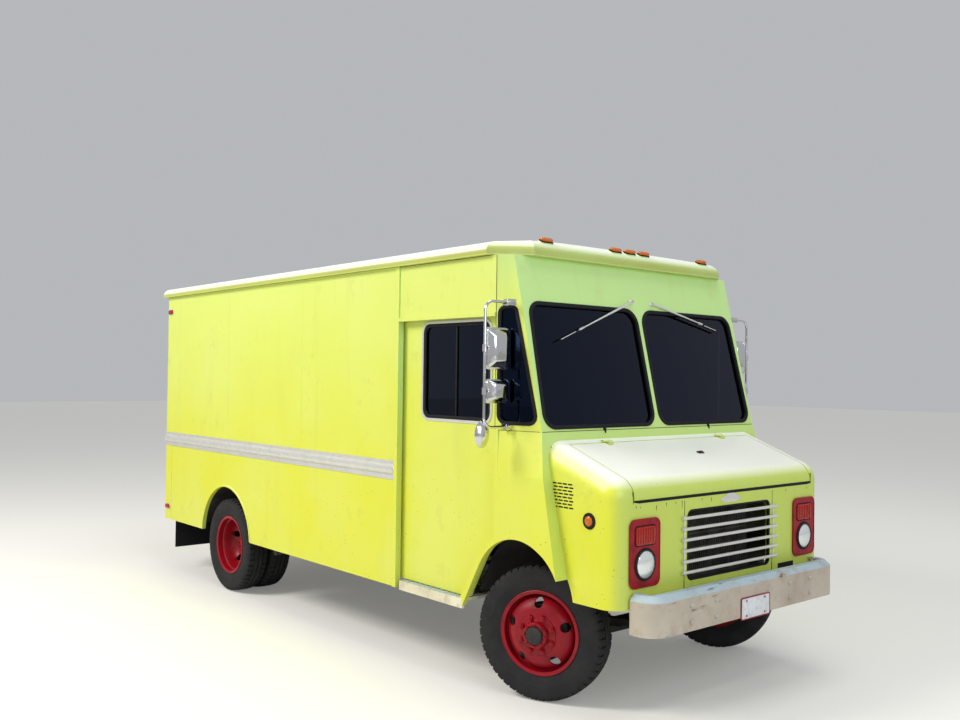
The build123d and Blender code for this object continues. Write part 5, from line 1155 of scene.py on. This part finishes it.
cover_top = level(1220)
latches = []
for x in (-290, 290):
    latches += [block(x - 22, x + 22, 740, 776, 6, 0, 4, cover_top, 1),
                block(x - 10, x + 10, 700, 770, 4, 4, 12, cover_top, 2)]
latches += [block(-200, 200, back, back + 8, 2, 0, 3, cover_top) for back in (300, 620)]
settled(latches, "cover_latches", bright)
settled(pair([block(-1180, -868, 540 + row * 60, 562 + row * 60, 4, 0, 3.5, level(567), 1)
              for row in range(11)]), "step_treads", step_cream)
cab_floor = level(790)
settled([block(-310, 310, 860, 1180, 20, 0, 5, cab_floor, 2)]
        + [block(-300, 300, 872 + row * 26, 882 + row * 26, 2, 5, 7, cab_floor, 0.6) for row in range(12)],
        "aisle_mat", rubber)

# Load space: ribs down the sides, bows under the roof and scuff rails
rib_pitch = 480
first_bow_back = 1480
inner_face = at_side(-1165)
ribs = []
for index in range(2, 8):  # behind the space that the open sliding doors take
    back = first_bow_back + index * rib_pitch
    foot = 1012 if 3440 < back < 4540 else 792  # on the wheelhouse, or on the floor
    ribs += [block(back - 24, back + 24, foot, 2800, 3, -26, 0, inner_face, 4),
             block(back - 40, back + 40, foot, 2800, 2, -3, 0, inner_face, 1)]
ribs += [block(2400, 5210, z, z + 90, 4, -36, -24, inner_face, 3) for z in (1120, 1700)]
settled(pair(ribs), "load_space_ribs", floor_grey)
settled([tile(0, first_bow_back + index * rib_pitch, 1150, 22, 4, -34, -1, level(drip_z), 4)
         for index in range(8)], "roof_bows", floor_grey)


# Driver's seat: two foam cushions in sewn vinyl, crowned, with piped edges and sewn channels

def cushion(width, length, thick, crown, channels, place):
    """A stuffed cushion with its back on a place: crowned over its face, pulled in along its channels."""
    bpy.ops.object.select_all(action="DESELECT")
    bpy.ops.mesh.primitive_cube_add(size=1, location=(0, 0, 0))
    piece = bpy.context.object
    piece.data.transform(Matrix.Diagonal((width / 1000, length / 1000, thick / 1000, 1)) @ moved(0, 0, 500))
    applied(piece, "BEVEL", width=0.032, segments=4, limit_method="ANGLE", angle_limit=radians(40))
    opened()
    for cuts, size, way in ((24, width, (1, 0, 0)), (20, length, (0, 1, 0))):
        for step in range(1, cuts):
            cut = (step / cuts - 0.5) * size / 1000
            bpy.ops.mesh.bisect(plane_co=[cut * share for share in way], plane_no=way)
            bpy.ops.mesh.select_all(action="SELECT")
    bpy.ops.object.mode_set(mode="OBJECT")
    for vertex in piece.data.vertices:
        over = vertex.co.x / (width / 2000)
        down = vertex.co.y / (length / 2000)
        rise = max(0.0, 1 - over ** 2) * max(0.0, 1 - down ** 2)
        share = vertex.co.z / (thick / 1000)
        seam = min(abs(vertex.co.x - channel / 1000) for channel in channels)
        groove = max(0.0, 1 - seam / 0.014)
        inside = max(abs(over), abs(down)) < 0.86
        vertex.co.z += share * crown / 1000 * (rise ** 0.5 - 0.45) - (0.008 * groove * share if inside else 0)
        pull = 0.012 * sin(pi * min(1.0, max(0.0, share)))
        vertex.co.x -= (1 if over > 0 else -1) * pull * (1 - abs(down)) * (abs(over) > 0.9)
        vertex.co.y -= (1 if down > 0 else -1) * pull * (1 - abs(over)) * (abs(down) > 0.9)
    applied(piece, "SUBSURF", levels=1, render_levels=1)
    piece.data.transform(place)
    normals_out(piece)
    return piece


def piping(width, length, height, rounding, place):
    """A cord of piping sewn round a cushion's edge."""
    across = width / 2 - 4
    along = length / 2 - 4
    loop = bent([(0, -along, 0), (across, -along, 0), (across, along, 0), (-across, along, 0),
                 (-across, -along, 0), (0, -along, 0)], rounding)
    return tube([(point.x, point.y, height) for point in loop], 4, 0, place, 2)


seat_width = 464
channels = (-150, -50, 50, 150)
lean = atan(0.2)
seat_place = placed((steering_x, 975, 1151.5), (1, 0, 0), (0, 1, 0))
back_place = placed((steering_x, 1272, 1540), (1, 0, 0), (0, sin(lean), cos(lean)))
sewn = settled([cushion(seat_width, 436, 100, 26, channels, seat_place),
                cushion(seat_width, 500, 66, 20, channels, back_place)],
               "seat_cushions_sewn", vinyl, smooth=60)
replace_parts(sewn, "seat_cushions")
settled([piping(seat_width + 2, 438, 84, 50, seat_place), piping(seat_width + 2, 502, 54, 40, back_place)],
        "seat_piping", vinyl)

# Underbody: brake drums, U-bolts, tank straps, fuel filler, exhaust clamps, radiator, fan, air cleaner
drum_outline = [(-70, 60), (-70, 176), (-62, 180), (-50, 180), (-48, 176), (-20, 176), (-18, 180), (-6, 180),
                (0, 176), (6, 150), (6, 60)]
rear_drum_outline = [(out * 1.2, radius * 1.04) for out, radius in drum_outline]
for side_name, hand in sides.items():
    drum = turned(drum_outline, 48, at_wheel(hand, True, front_middle + 50))
    settled([drum], f"front_{side_name}_brake_drum", iron, f"front_{side_name}_wheel")
    drum = turned(rear_drum_outline, 48, at_wheel(hand, False, 745))
    settled([drum], f"rear_{side_name}_brake_drum", iron, f"rear_{side_name}_wheels")

bolts = []
for x, back, width, top, bottom in ((397.5, 30, 64, 447, 296), (545, rear_axle_back, 78, 562, 352)):
    half = width / 2 + 6
    for along in (back - 38, back + 38):
        bolts.append(tube([(-x - half, along, bottom), (-x - half, along, top), (-x + half, along, top),
                           (-x + half, along, bottom)], 7, 12, sides=3))
        bolts += [boss([(0, 0), (0, 12), (12, 12), (14, 9), (14, 0)], -x + edge, along, level(bottom), 6)
                  for edge in (-half, half)]
    bolts += [tile(-x, back, half + 8, 60, 6, low, 12, level(z), 2)
              for low, z in ((0, top - 12), (2, bottom + 8))]
settled(pair(bolts), "spring_u_bolts", black)
settled([hoop(425, 975, 470, 740, 64, 5, -20, 20, at_front(back), 1) for back in (1700, 2300)],
        "tank_straps", bright)
left_face = Matrix(((0, 0, 1, body_half_width / 1000), (-1, 0, 0, arch_y), (0, 1, 0, 0), (0, 0, 0, 1)))
settled([boss([(-2, 0), (-2, 62), (3, 60), (5, 48), (5, 0)], -2000, 900, left_face, 32),
         boss([(4, 0), (4, 36), (20, 35), (24, 30), (24, 0)], -2000, 900, left_face, 24),
         tile(-2000, 900, 34, 7, 4, 23, 28, left_face, 2)], "fuel_filler", chromed)

pipe_x = -315
clamp_backs = (640, 1560, 2620)
clamps = [boss([(-14, 28), (-14, 34), (14, 34), (14, 28)], pipe_x, 515, at_front(back), 20)
          for back in clamp_backs]
clamps += [block(pipe_x - 4, pipe_x + 4, 545, 680, 2, -10, 10, at_front(back), 1) for back in clamp_backs]
clamps.append(boss([(-6, 40), (-6, 96), (6, 96), (6, 40)], pipe_x, 500, at_front(420), 24))
settled(clamps, "exhaust_clamps", iron)

radiator_face = at_front(-600)
fins = [block(-340 + column * 20, -334 + column * 20, 805, 1188, 1, 0, 7, radiator_face)
        for column in range(35)]
fins += [tile(0, z, 352, 4, 1, 0, 9, radiator_face) for z in (870, 960, 1050, 1140)]
settled(fins, "radiator_fins", iron)
fan_z = 1000
fan_place = at_front(-470)
fan = [boss([(-20, 0), (-20, 40), (8, 40), (14, 30), (14, 0)], 0, fan_z, fan_place, 24)]
for blade in range(6):
    turn = fan_place @ moved(0, fan_z) @ Matrix.Rotation(radians(60 * blade), 4, "Z")
    turn = turn @ Matrix.Rotation(0.4, 4, "X")
    fan.append(slab([(30, -24), (168, -42), (176, 30), (30, 24)], 6, -2, 2, turn, 1))
fan += [boss([(-30, 186), (-30, 196), (34, 200), (34, 190)], 0, fan_z, fan_place, 40),
        boss([(0, 0), (0, 46), (10, 48), (14, 44), (14, 0)], 0, -575, level(1249), 24)]
settled(fan, "fan_and_shroud", iron)
engine_top = level(1160)
cleaner = [boss([(0, 0), (0, 120), (8, 126), (60, 126), (70, 118), (78, 40), (78, 0)], 0, -340,
                engine_top, 40),
           boss([(70, 0), (70, 10), (92, 9), (96, 0)], 0, -340, engine_top, 16)]
cleaner += [tile(hand * 215, -340, 45, 85, 10, 0, 26, engine_top, 6) for hand in hands]
settled(cleaner, "air_cleaner", black)

# Small things on the nose and sides: hood latch, cowl fillers, a pale bead over the apron and seams
hood_slope = atan(0.3812)
hood_face = placed((100, -410, 1532), (1, 0, 0), (0, cos(hood_slope), sin(hood_slope)))
settled([tile(0, 0, 34, 16, 14, 0, 5, hood_face, 2), tile(0, 0, 20, 7, 5, 5, 12, hood_face, 2.5)],
        "hood_latch", ("chrome", black[1]), "hood")
settled(pair([block(-1116, -1000, up_rake(1460), up_rake(1689), 0, -9, -1.5, rake)]), "cowl_fillers", lime)
settled([block(-470, 470, 742, 749, 2, -1, 4, nose_face, 1)], "apron_bead", bright)
settled(pair([block(back - 1.5, back + 1.5, 1418, 2795, 0, -1, 0.7, side_face)
              for back in (side_panel_back, 2620, 3960)]), "side_seams", lime)

# Roof: lapped sheets with a bead of sealant and rivets along each lap
roof_crown_z = 2938
roof_bend = 15266
lap_rivets_every = 270


def roof_z(x):
    """Height of the crowned roof at x."""
    return roof_crown_z - x ** 2 / (2 * roof_bend)


laps = []
sealant = []
for back in (1000, 2100, 3200, 4300):
    for low, high, lift, kept in ((-16, 16, 1.8, laps), (16, 21, 1.2, sealant)):
        over = [(x, roof_z(x) + lift) for x in range(-1140, 1141, 95)]
        under = [(x, roof_z(x) - 3) for x in range(1140, -1141, -95)]
        kept.append(slab(over + under, 0, low, high, at_front(back)))
    for x in range(-1080, 1080, lap_rivets_every):
        tilt = atan2(roof_z(x + lap_rivets_every) - roof_z(x), lap_rivets_every)
        seat = placed((x, back, roof_z(x)), (cos(tilt), 0, sin(tilt)), (0, 1, 0))
        laps.append(rivet_row((30, 0), (240, 0), 3, seat, 1.5, 6, 2))
settled(laps, "roof_laps", lime)
settled(sealant, "roof_sealant", rubber)

# Floor, lights and camera

bpy.ops.object.select_all(action="DESELECT")
bpy.ops.mesh.primitive_plane_add(size=120, location=(0, 0, 0))
ground = bpy.context.object
ground.name = "studio_floor"
floor_finish = Finish("pale_floor")
seen = floor_finish.add("ShaderNodeLightPath").outputs["Is Camera Ray"]
ground.data.materials.append(floor_finish.done({
    "Base Color": "#DEDCD6", "Roughness": 0.9, "Emission Color": "#F2F1EC",
    "Emission Strength": floor_finish.steps(seen, 0, 1, 0, 0.18)}))

world = bpy.data.worlds.new("studio")
bpy.context.scene.world = world
world.use_nodes = True
background = world.node_tree.nodes["Background"]
background.inputs["Color"].default_value = (0.93, 0.96, 1.0, 1.0)
background.inputs["Strength"].default_value = 0.50


def lamp(name, place, target, size, power, colour):
    """A square soft light that faces its target."""
    data = bpy.data.lights.new(name, "AREA")
    data.size = size
    data.energy = power
    data.color = colour
    made = bpy.data.objects.new(name, data)
    bpy.context.scene.collection.objects.link(made)
    made.location = place
    made.rotation_euler = (Vector(target) - Vector(place)).to_track_quat("-Z", "Y").to_euler()


lamp("key_light", (-9, 2.5, 9), (0, 0, 1.4), 4, 1000, (1.0, 0.97, 0.92))
lamp("front_light", (-3, -11, 5), (0, -1, 1.3), 5, 330, (0.90, 0.97, 1.0))
lamp("top_light", (0, -3.5, 12), (0, -1, 1), 6, 380, (1.0, 1.0, 1.0))

# Camera, fitted to the photo's wheels, seams and rails
camera_place = Vector((-5.217, -6.6595, 2.025))
camera_yaw = 0.70748
camera_pitch = 0.01712
camera_roll = 0.01253
view = Vector((sin(camera_yaw) * cos(camera_pitch), cos(camera_yaw) * cos(camera_pitch), sin(camera_pitch)))
right = Vector((cos(camera_yaw), -sin(camera_yaw), 0))
up = right.cross(view)
right, up = cos(camera_roll) * right + sin(camera_roll) * up, cos(camera_roll) * up - sin(camera_roll) * right
camera_data = bpy.data.cameras.new("camera")
camera_data.lens = 35.87
camera = bpy.data.objects.new("camera", camera_data)
bpy.context.scene.collection.objects.link(camera)
camera.matrix_world = Matrix.Translation(camera_place) @ Matrix((right, up, -view)).transposed().to_4x4()
bpy.context.scene.camera = camera
bpy.context.scene.view_settings.view_transform = "Standard"
